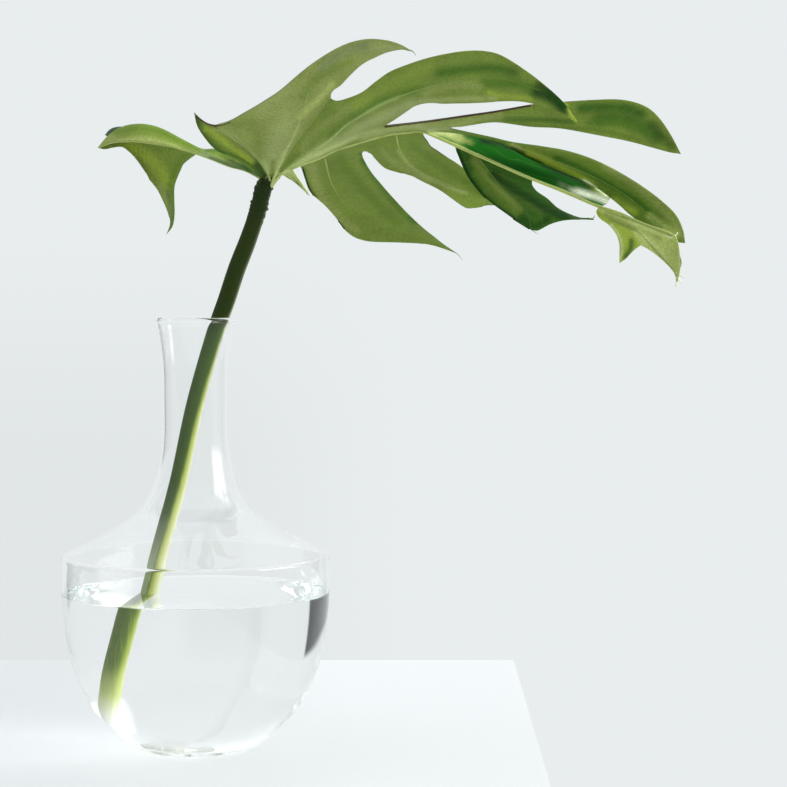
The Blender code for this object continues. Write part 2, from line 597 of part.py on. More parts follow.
def make_water(collection, cutters, material):
    """The water: the carafe's inside up to its level, less a plain hole round the petiole."""
    _, inner = vase_outlines()
    wet = [p for p in offset_inwards(inner, 2 * GAP) if p[1] < WATER_HEIGHT - MENISCUS_WIDTH]
    top = wet[0][0]
    level = WATER_HEIGHT - MENISCUS_RISE
    profile = [(0, level), (top - MENISCUS_WIDTH, level), (top, WATER_HEIGHT)] + wet
    profile += [(0, FLOOR_THICKNESS + GAP)]
    obj = turned("water", profile, collection, material)
    line, _ = petiole_line()
    steep = line[-2] - line[-1]
    end = line[-1] - steep / np.linalg.norm(steep) * GAP
    hole_line = np.vstack([p for p in line if p[2] < WATER_HEIGHT + 0.02])
    hole_line[-1] = end
    hole = tube_mesh("petiole_hole", hole_line, [PETIOLE_RADIUS + GAP] * len(hole_line), 4)
    cutter = add_object("petiole_hole", hole, cutters, material)
    cutter.hide_render = True
    cutter.display_type = "WIRE"
    cut = obj.modifiers.new("Petiole hole", "BOOLEAN")
    cut.operation = "DIFFERENCE"
    cut.solver = "EXACT"
    cut.object = cutter
    return obj


def clear_scene():
    for obj in list(bpy.data.objects):
        bpy.data.objects.remove(obj)


def main():
    clear_scene()
    part = bpy.data.collections.new("monstera_leaf_in_vase")
    cutters = bpy.data.collections.new("cutters")
    for collection in (part, cutters):
        bpy.context.scene.collection.children.link(collection)
    glass = principled("Clear glass", (0.93, 0.95, 0.95), 0.03, 0.3, 1.0)
    water = principled("Water", (0.90, 0.95, 0.94), 0.02, 0.4, 1.0)
    stalk = principled("Green petiole", (0.05, 0.11, 0.02), 0.45)
    leaf = principled("Leaf green", (0.20, 0.29, 0.07), 0.50)
    make_vase(part, glass)
    make_water(part, cutters, water)
    make_petiole(part, stalk)
    make_blade(part, leaf)


main()
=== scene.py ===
"""The looks of a monstera leaf standing in a glass carafe of water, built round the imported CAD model.

Metres, +Z up, origin at the middle of the carafe's foot, camera on the -Y side.
"""

import math
import random

import bmesh
import bpy
import numpy as np
from mathutils import Matrix, Vector, noise
from mathutils.bvhtree import BVHTree


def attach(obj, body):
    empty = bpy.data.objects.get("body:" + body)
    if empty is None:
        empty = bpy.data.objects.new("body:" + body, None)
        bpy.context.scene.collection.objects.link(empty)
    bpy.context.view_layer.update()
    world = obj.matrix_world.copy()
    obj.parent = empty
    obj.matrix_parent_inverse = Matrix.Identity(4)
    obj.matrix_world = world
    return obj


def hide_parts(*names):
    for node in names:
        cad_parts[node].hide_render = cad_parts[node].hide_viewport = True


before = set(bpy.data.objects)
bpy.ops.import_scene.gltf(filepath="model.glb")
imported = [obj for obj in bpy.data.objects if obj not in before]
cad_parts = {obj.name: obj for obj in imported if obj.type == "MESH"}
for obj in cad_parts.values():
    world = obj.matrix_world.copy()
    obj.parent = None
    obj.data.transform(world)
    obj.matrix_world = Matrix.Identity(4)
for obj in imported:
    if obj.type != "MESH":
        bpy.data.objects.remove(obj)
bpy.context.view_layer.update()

# Carafe and water: sizes in metres, the steps of their outlines, and how they bend light
VASE_HEIGHT = 0.239
FOOT_RADIUS = 0.0232
SHOULDER_RADIUS = 0.0736
SHOULDER_HEIGHT = 0.1085
NECK_RADIUS = 0.0180
LIP_RADIUS = 0.0222
WALL = 0.0014
FLOOR_THICKNESS = 0.0045
BOWL_TOP = 0.0842
WATER_HEIGHT = 0.0878
GLASS_IOR = 1.31
WATER_IOR = 1.333
GLASS_BOUNCES = 400
TURN_STEPS = 192
PROFILE_STEPS = 6
SHOULDER_ROUNDING = 0.0027
RIM_RADIUS = 0.0011
FILLET_STEPS = 8
CORNER_COSINE = 0.8
RIM_STEPS = 15
NECK_END = 0.13
FLOOR_ROUNDING = 0.001
LEAST_STEP = 0.0002
MENISCUS = 0.0035
MENISCUS_HEIGHT = 0.0007
MENISCUS_STEPS = 9
OVERLAP = 0.0002

# Petiole: sizes in metres, its rings and folds, and its top as a guide place
PETIOLE_RADIUS = 0.0049
KNEE_RADIUS = 0.0045
KNEE_LENGTH = 0.024
KNEE_BLEND = 0.8
KNEE_RINGS = 110
STALK_RINGS = 130
TOP_ROUNDING = 0.004
STALK_FLATNESS = 0.05
STALK_RIBS = 9
STALK_RIB_HEIGHT = 0.00005
PETIOLE_TOP = (267.5, 179, 8.5)
PETIOLE_SIDES = 48
KNEE_FOLDS = 60
FOLD_HEIGHT = 0.00042
FOLD_WIDTH = 0.0008

# Blade: its thickness in metres, its smoothing, its waves as (scale, height), and the steps per guide column
BLADE_THICKNESS = 0.0006
SMOOTHING = 0.4
WAVES = ((38, 0.0004), (110, 0.00012))
FINE = 5

# The leaf's guide points are places as seen from the front: pixels across and down the square view of EYE,
# and the depth in millimetres behind the carafe's axis. FOCAL is the view's focal length in the same
# pixels. A guide is written with commas inside a point and spaces between points.
EYE = np.array((0.109, -1.427, 0.2744))
PITCH = math.radians(3.1)
FOCAL = 2600.0
VIEW_WIDTH = 787
VIEW_CENTRE = VIEW_WIDTH / 2
SENSOR_WIDTH = 36

# The rows from the midrib to the bottom of a cut, and how strongly a lobe arches at its base
SEAM_ROWS = 4
ARCH = 0.55

# The midrib, from over the petiole to the apex
MIDRIB = """262,180,10 268.5,180,9.5 275,177.5,9 284.6,173,8.5 301.6,165,8 319.5,158,7 335,149.5,6.5
    352,144,6 385,133.5,5 400,131,4 414,130.3,3.5 422,130.8,3 428,132.3,3 438,136,2.5 456,145,2 482.5,157,1
    509,169,0 536,180.5,-1 560,189.5,-2.5 591,203,-4 600,206.3,-5 622,213.7,-7 642,222.5,-9 656,228,-10.5
    667,232,-11.5 674,237.5,-12 677,246,-12 677.5,257,-11.5 677.5,270,-11 677,284,-10"""
APEX_START = 21

# The point of the midrib where its narrow columns meet wide ones: smoothing stays this far off it
FORK = 12
FORK_REACH = 0.009

# Each stretch of midrib between two lobe joints: first and last point of MIDRIB, and its number of columns
STRETCHES = {(0, 1): 6, (1, 2): 8, (2, 7): 8, (7, 11): 8, (11, 12): 4, (12, 20): 8, (20, 21): 4}

# The seams between neighbouring lobes: the point of MIDRIB each starts from, and its guide out to the cut
SEAMS = {
    "near 0-1": (1, "262,166,4 250,153,-8 232,138,-24 213,125.5,-36"),
    "near 1-2": (2, "290,150,-5 312,122,-24 331,98,-40"),
    "near 2-3": (7, "368,134,-4 384,125.3,-12"),
    "near 3-4": (11, "434,128.8,-8 450,127.8,-20"),
    "far 0-1": (1, "262,168,16 256,160,23"),
    "far 1-2": (2, "279,168,15 284,160,22"),
    "far 2-3": (7, "357.5,147,9.5 363.5,150.5,13"),
    "far 5-apex": (21, "631,229,-3 641,244.5,4"),
}

# The lobes. base: first and last point of MIDRIB; middle: the column that follows the centre guide; seams:
# towards the petiole and towards the apex; the three guides run outwards and all end at the tip. In a
# matched lobe, which folds over, the guides' points lie in rows: the first row is level with the bottom of
# the cuts.
LOBES = [
    {
        "side": "near", "base": (0, 1), "middle": 3, "rows": 5, "seams": (None, "near 0-1"),
        "inner": "259,177,4 246,166,-8 233,158,-16 215,149,-26 204,137,-34 197,125,-40",
        "centre": "260,168,2 249,157,-9 232,146,-21 212,134.5,-33 200,122,-41",
        "outer": "204,121.5,-41",
        "tip": (194, 112, -46),
    },
    {
        "side": "near", "base": (1, 2), "middle": 4, "rows": 12, "seams": ("near 0-1", "near 1-2"),
        "inner": """231,120,-42 245,112,-47 261,102.5,-52 279,91,-57 300,73,-63 318,59.5,-68 336,48.5,-73
        353,41.5,-79 371,38.7,-85 389,40.7,-90 401,44.5,-94""",
        "centre": """272,166,2 272,146,-16 273,124,-32 281,106,-45 298,89,-54 318,73,-61 340,59,-69
        366,48.5,-80 390,45.5,-89""",
        "outer": """331,94,-42 333,89,-44 340,84.5,-48 349,75.5,-54 362.5,63,-64 376,56,-74 389,51,-82
        403,48.5,-90""",
        "tip": (411, 50.5, -97),
    },
    {
        "side": "near", "base": (2, 7), "middle": 4, "rows": 16, "seams": ("near 1-2", "near 2-3"),
        "inner": """336,100.5,-42 349,97.5,-46 362.5,91.5,-51 376,81,-57 389,72,-62 403,66,-67 420.5,60,-71
        440,55,-76 467,50.8,-82 485,51,-86 500,54.5,-89 530,73,-95 550,89.5,-98 566,105,-101""",
        "centre": """325,144,-10 343,128,-22 362.5,114,-34 380,104,-43 398,96,-50 416,89,-57 440,82,-64
        480,75,-76 510,76,-86 540,89,-95 562,106,-101""",
        "outer": """394,119,-20 407,110,-28 416,104.5,-34 429,102,-42 445,103,-50 480,102.5,-64
        507,100.7,-76 525,101.6,-84 548,107.5,-94 565,114,-100""",
        "tip": (578, 123, -103),
    },
    {
        "side": "near", "base": (7, 11), "middle": 4, "rows": 14, "seams": ("near 2-3", "near 3-4"),
        "inner": """407,122.5,-18 436,119,-24 471,114,-31 498,110,-37 532,104.2,-44 570,101.3,-51
        595,99.8,-55 620,99.5,-59 636,102.5,-61 650,109,-63 661,120,-65 671,135,-67""",
        "centre": """400,129,-4 425,124.5,-16 450,121.5,-23 480,118,-30 510,115.5,-36 540,115,-42
        580,117,-50 620,122,-57 650,133,-63 668,145,-66""",
        "outer": """471,124.5,-22 489,121.5,-26 503,121.5,-30 516,124,-33 532,126,-36 560,128,-43
        600,135.5,-52 630,141.5,-58 665,150.5,-65""",
        "tip": (681, 154, -70),
    },
    {
        "side": "near", "base": (11, 12), "middle": 2, "rows": 18, "seams": ("near 3-4", None),
        "inner": """470,132.5,-18 491,137,-16 512,142,-13 540,146,-11 565,150,-8 591,158,-5 616,170,-2
        642,186,1 662,201,3 676,215,5 683,230,6.5""",
        "centre": """433,130.2,-5.5 446,129.8,-11.5 458,131,-12 470,133.6,-10.5 491,138.1,-8.5 512,144.8,-6
        540,154,-4 565,163,-2 591,173,0 606,182,1.5 627,195,3 642,208,4 657,221,5 672,234,6.5""",
        "outer": """434,131.2,-2 445,131,-4.5 458,132.4,-5 470,134.9,-4 491,139.3,-2 505,143.4,0 512,148,1.5
        532,158.6,4 560,170,5 581,179,5 601,190,5 611,198,5 620,205.5,5 628,213,5 642,224,5 657,234,5.5
        671,241,7""",
        "tip": (685, 243, 8),
    },
    {
        "side": "far", "base": (0, 1), "middle": 3, "rows": 20, "seams": (None, "far 0-1"), "matched": True,
        "inner": """256,176.5,12 244,170.5,14 230,167,15 215,161,16 203,156.5,17 194,153.5,17 184,150.5,16
        173,147,14 163,145.3,13 154,144,12 146,143,12 139,142,12 133,141.6,12.3 127,141.5,13 122,141.7,14.5
        117,142,16 112,142.8,18 108,143.8,19.5 105,145,21 102,146,23""",
        "centre": """254,169,18 242,161.5,20 228,157,21 214,152.5,22 202,149.5,22 192,143.5,22
        182,137.5,22.5 172,131.5,23.5 162,126.5,25 153,123.3,26 145,122,27 138,121.8,28 132,122,28.5
        127,123,29 122,124.5,29 117.5,126.5,29 113,129.5,28.5 109,133,28 105.5,137,27 102.5,141,26.5""",
        "outer": """240,154,26 228,151,27.5 218,149,28 208,148.8,28 200,151.5,28.5 193,156,30.5 185.5,162,33
        179,169.5,36 174,175,38.5 168,179,40 159.5,182.5,41.5 151.3,181.5,41.8 147.3,175.3,40.5 143,169,38
        138.5,162.3,36 134.8,157.5,34.5 129,151.5,32.5 122,147,31 113,147.5,29.5 105,149,28""",
        "tip": (98, 148, 25),
    },
    {
        "side": "far", "base": (1, 2), "middle": 4, "rows": 8, "seams": ("far 0-1", "far 1-2"),
        "inner": "250,150,40 254,152,58 264,163,74 283.5,174.5,86 295,182.5,90",
        "centre": "264,155,34 264,144,50 268,150,66 277,162,80 289,173.5,88 299,184,92.5",
        "outer": "286,146,38 284,140,54 284,150,70 293,171,86 302,184.5,91.5",
        "tip": (309.5, 196, 94),
    },
    {
        "side": "far", "base": (2, 7), "middle": 5, "rows": 12, "seams": ("far 1-2", "far 2-3"),
        "inner": """294,158,32 301,166,44 305,177.5,52 310,191,58 325,205,64 337,219,69 345,230,72
        355,237,75 367,240.5,77 400,242,80 430,244,82 443,248,83""",
        "centre": """318,154,20 328,160,34 337,180,48 352,203,60 375,219,70 405,231,76 431,240.5,80
        444,246.8,82""",
        "outer": "362,154,18 370,170,32 382,185,44 395,200,54 420,225,68 435,237.5,75 445,245.3,80",
        "tip": (455, 252, 84),
    },
    {
        "side": "far", "base": (7, 11), "middle": 4, "rows": 12, "seams": ("far 2-3", None),
        "inner": """370,152,16 375,158,22 385,167.5,30 397,172,34 410,175,38 422,181,43 438,189,50
        451,198,56 460,204.5,60 467,208,63 478,206.5,66 489,205.5,67""",
        "centre": "399,142,12 404,154,22 418,168,34 438,179,45 456,187,54 474,194,62 492,201,68",
        "outer": """424,136,5 427.5,141,9 430.5,146,14 438,151,24 447,157,34 462,167,46 480,183,58
        497,196,67""",
        "tip": (505, 206, 71),
    },
    {
        "side": "far", "base": (11, 20), "middle": 8, "rows": 16, "seams": (None, None), "matched": True,
        "inner": """428.5,128.4,8.5 440,128,14 450,129.5,20 454.5,137,26 455.7,148.4,30 460,158,32
        466,172.5,34 482.5,195,38 505,213,43 530,229,50 537,230.5,52 549,223.5,55 562,219.3,57.5""",
        "centre": """509,156,7 503,144,14 497,139.5,20 492,146,27 489,160,31 492,174,33 500,187,36
        512,200,41 528,210,46 545,214,51 556,215.5,54 569,217.5,57 580,218.3,58.5""",
        "outer": """607,203,2 611,194,9 603,183,15 585,175,21 560,171,26 538,172,30 532,182.5,33 536,190,36
        547,198,41 558,208,47 571,214.5,53 580,217.5,56.5 588,218.5,58.5""",
        "tip": (594, 219, 60),
    },
    {
        "side": "far", "base": (20, 21), "middle": 2, "rows": 7, "seams": (None, "far 5-apex"),
        "inner": """596.5,210.5,-3 597,214,-2.3 600,218,-1 606,221.5,2 613,228,6 618,236,10 620,245,14
        619.5,255,18""",
        "centre": "615,218,-2 623,229,3 628,240,8 627,249,13.5 623.5,256.5,18",
        "outer": "633.5,250.5,11 627,257.5,17",
        "tip": (619.5, 263, 22),
    },
]

# The thin tail that hangs from the far margin of the lobe LOBES[TAIL_LOBE], between two of its rows
TAIL_LOBE = 5
TAIL_ROOT = (SEAM_ROWS + 7, SEAM_ROWS + 11.4)
TAIL_ROWS = 7
TAIL = {
    "inner": "157.3,189.5,43 162.7,200,46 167.5,211.5,48 170.6,223,49.5",
    "centre": "167,187,42.5 169,200,46 171,212.5,48 170.8,225,50",
    "outer": "175,185,41 174.2,199,45.5 174.7,212.5,48 172.7,226,50",
    "tip": (166, 235, 51),
}

# The narrow strip of blade that is left along the near side of the midrib, past the last near lobe. It
# starts STRIP_START columns along and is fully out STRIP_FADE columns later.
STRIP_BASE = (12, 21)
STRIP_ROWS = 2
STRIP_START = 2
STRIP_FADE = 3
STRIP_REACH = np.array((0.0, -0.004, 0.0005))

# The pointed end of the leaf beyond the last lobes: its near and far margins, out to the apex
APEX_ROWS = 10
APEX_NEAR = "640,221,-16 655,226.5,-20 668,231,-22 676,236.5,-22 679,246,-20 680,258,-17 680,270,-13"
APEX_FAR = "650,249.5,3 662.5,259.5,0 672,269,-4 676,276,-7"

# The petiole's centre line, from the knee under the blade down to its cut end in the water
PETIOLE = """265.4,184.2,9.3 263,190,9.1 259.4,205,9 254.3,222,8.9 247.2,243,8.8 236.8,270,8.4 227,300,7.8
    218.9,323,7.2 196,402,4.6 178.2,484,2 159.3,555.5,0 145.8,610,-1.2 137,650,-2 129,690,-2.4
    123.5,718,-2.6"""


def seen(across, down, depth):
    """The place in metres that is seen at this pixel, this many millimetres behind the carafe's axis."""
    right = (across - VIEW_CENTRE) / FOCAL
    up = (VIEW_CENTRE - down) / FOCAL
    ray = np.array((
        right,
        math.cos(PITCH) + up * math.sin(PITCH),
        -math.sin(PITCH) + up * math.cos(PITCH),
    ))
    return EYE + ray * (depth / 1000 - EYE[1]) / ray[1]


def on_screen(points):
    """The pixels at which the front view shows these places."""
    away = points - EYE
    ahead = away[:, 1] * math.cos(PITCH) - away[:, 2] * math.sin(PITCH)
    up = away[:, 1] * math.sin(PITCH) + away[:, 2] * math.cos(PITCH)
    return VIEW_CENTRE + FOCAL * np.column_stack((away[:, 0] / ahead, -up / ahead))


def points_of(text):
    return [tuple(float(number) for number in point.split(",")) for point in text.split()]


def places(text):
    return [seen(*point) for point in points_of(text)]


def run_along(points):
    """How far each point is from the first, along the line through them."""
    return np.concatenate(([0], np.cumsum(np.linalg.norm(np.diff(points, axis=0), axis=1))))


def at_runs(line, wanted):
    """The places on a line that are this far along it."""
    run = run_along(line)
    return np.column_stack([np.interp(wanted, run, column) for column in line.T])


def curve_through(points, positions):
    """A centripetal Catmull-Rom curve through the points, read at positions, where point number i is at i."""
    points = np.asarray(points, float)
    padded = np.vstack((2 * points[0] - points[1], points, 2 * points[-1] - points[-2]))
    read = []
    for position in positions:
        i = min(int(position), len(points) - 2)
        p = padded[i:i + 4]
        knots = np.concatenate(([0], np.cumsum(np.linalg.norm(np.diff(p, axis=0), axis=1) ** 0.5)))
        t = knots[1] + (position - i) * (knots[2] - knots[1])
        for starts, ends in (((0, 1, 2), (1, 2, 3)), ((0, 1), (2, 3)), ((1,), (2,))):
            lower, upper = knots[list(starts)], knots[list(ends)]
            weight = ((t - lower) / (upper - lower))[:, None]
            p = p[:-1] * (1 - weight) + p[1:] * weight
        read.append(p[0])
    return np.array(read)


def finely(points, steps):
    """The curve through the points, with this many steps from each to the next."""
    return curve_through(points, np.linspace(0, len(points) - 1, steps * (len(points) - 1) + 1))


def along(points, count):
    """count + 1 places spread evenly along the curve through the points."""
    fine = finely(points, 24)
    return at_runs(fine, np.linspace(0, run_along(fine)[-1], count + 1))


MIDRIB_PLACES = np.array(places(MIDRIB))


def midrib_base(base):
    """The columns' starting places on the midrib, and the station of each, from one lobe joint to another."""
    stations = []
    for (start, end), columns in sorted(STRETCHES.items()):
        if base[0] <= start and end <= base[1]:
            stations.extend(np.linspace(start, end, FINE * columns + 1)[len(stations) > 0:])
    return curve_through(MIDRIB_PLACES, stations), np.array(stations)


def seam(name):
    start, guide = SEAMS[name]
    return along([MIDRIB_PLACES[start]] + places(guide), FINE * SEAM_ROWS)


def guide_rows(start, seam_name, guide, tip, rows, matched):
    """One guide of a lobe: the seam, if it has one, and then the free edge or centre out to the tip."""
    if seam_name is not None:
        joined = seam(seam_name)
        points = [joined[-1]] + places(guide) + [tip]
    elif matched:
        points = places(guide) + [tip]
        joined = along([start, points[0]], FINE * SEAM_ROWS)
    else:
        return along([start] + places(guide) + [tip], FINE * (SEAM_ROWS + rows))
    count = FINE * rows
    if matched:
        free = curve_through(points, np.linspace(0, len(points) - 1, count + 1))
    else:
        free = along(points, count)
    return np.vstack((joined, free[1:]))


def column_shares(base, middle, rows, matched):
    """How far each column is from the centre guide, -1 to 1, in each row: as on the base, then evenly."""
    run = run_along(base)
    on_base = np.interp(run, (run[0], run[middle], run[-1]), (-1, 0, 1))
    even = np.interp(np.arange(len(base)), (0, middle, len(base) - 1), (-1, 0, 1))
    keep = (1 - np.linspace(0, 1, rows)) ** (2 if matched else 3)
    return even + (on_base - even) * keep[:, None]


def spread(inner, centre, outer, shares):
    """Fills each row between the three guides, with a soft arch over the centre that fades to the tip."""
    t = shares[:, :, None]
    inner, centre, outer = inner[:, None], centre[:, None], outer[:, None]
    straight = np.where(t < 0, centre + (centre - inner) * t, centre + (outer - centre) * t)
    arched = centre + (outer - inner) * t / 2 + ((outer + inner) / 2 - centre) * t * t
    arch = ARCH * (1 - np.linspace(0, 1, len(inner)) ** 2)[:, None, None]
    return straight + (arched - straight) * arch


def settle(grid, base, power):
    """Moves a grid's first row onto its base, and the rows after it less and less."""
    fade = (1 - np.linspace(0, 1, len(grid)))[:, None, None] ** power
    return grid + (base - grid[0])[None] * fade


def lobe_grid(lobe):
    base, _ = midrib_base(lobe["base"])
    tip = seen(*lobe["tip"])
    middle = FINE * lobe["middle"]
    rows, matched = lobe["rows"], lobe.get("matched", False)
    inner = guide_rows(base[0], lobe["seams"][0], lobe["inner"], tip, rows, matched)
    outer = guide_rows(base[-1], lobe["seams"][1], lobe["outer"], tip, rows, matched)
    centre = guide_rows(base[middle], None, lobe["centre"], tip, rows, matched)
    shares = column_shares(base, middle, len(centre), matched)
    return settle(spread(inner, centre, outer, shares), base, 3), shares


def tail_grid(base):
    """The tail's rows. base is the stretch of lobe margin that it hangs from."""
    middle = (len(base) - 1) // 2
    rows = FINE * TAIL_ROWS
    ends = [(0, "inner"), (middle, "centre"), (-1, "outer")]
    guides = [along([base[i]] + places(TAIL[name]) + [seen(*TAIL["tip"])], rows) for i, name in ends]
    shares = column_shares(base, middle, rows + 1, False)
    return settle(spread(*guides, shares), base, 2), shares


def strip_grid():
    """The narrow near strip, which widens from nothing behind the last near lobe."""
    base, _ = midrib_base(STRIP_BASE)
    width = np.clip((np.arange(len(base)) / FINE - STRIP_START) / STRIP_FADE, 0, 1)[None, :, None]
    out = np.linspace(0, 1, STRIP_ROWS * FINE + 1)[:, None, None]
    return base[None] + STRIP_REACH * width * out


def apex_grid(edge, joined):
    """The blade between the midrib's end and one margin of the apex. joined is the row it starts from."""
    rows = FINE * APEX_ROWS
    ridge = curve_through(MIDRIB_PLACES, np.linspace(APEX_START, len(MIDRIB_PLACES) - 1, rows + 1))
    margin = along([joined[-1]] + places(edge) + [MIDRIB_PLACES[-1]], rows)
    t = np.linspace(0, 1, len(joined))[None, :, None]
    return settle(ridge[:, None] * (1 - t) + margin[:, None] * t, joined, 2)


# Greens by name, as red, green and blue from 0 to 255 in the picture
GREENS = {
    "olive": (137, 149, 83), "sage": (150, 162, 100), "moss": (116, 135, 62), "grass": (98, 122, 50),
    "lime": (150, 168, 66), "leek": (80, 114, 44), "deep": (62, 98, 40), "dark": (36, 66, 26),
    "forest": (14, 86, 16), "night": (10, 46, 12), "pale": (182, 195, 128), "straw": (170, 182, 104),
    "plum": (72, 54, 50), "dusk": (78, 96, 84), "grey": (118, 132, 100), "white": (228, 234, 208),
    "shade": (78, 94, 64),
}

# The greens of each lobe's under side and upper side, and of its margins towards the petiole and the apex,
# in the order of LOBES, and then of the tail, the strip and the apex's far and near half
PAINT = [
    ("moss", "leek", "dark", "plum"), ("olive", "deep", "grey", "olive"), ("moss", "deep", "moss", "straw"),
    ("moss", "deep", "plum", "olive"), ("grass", "deep", "leek", "straw"), ("moss", "olive", "straw", "grey"),
    ("pale", "straw", "pale", "pale"), ("moss", "deep", "dark", "leek"), ("moss", "deep", "dark", "deep"),
    ("deep", "forest", "dark", "dark"), ("lime", "grass", "white", "straw"),
    ("moss", "grass", "straw", "grey"), *[("straw", "leek", "straw", "straw")] * 3,
]

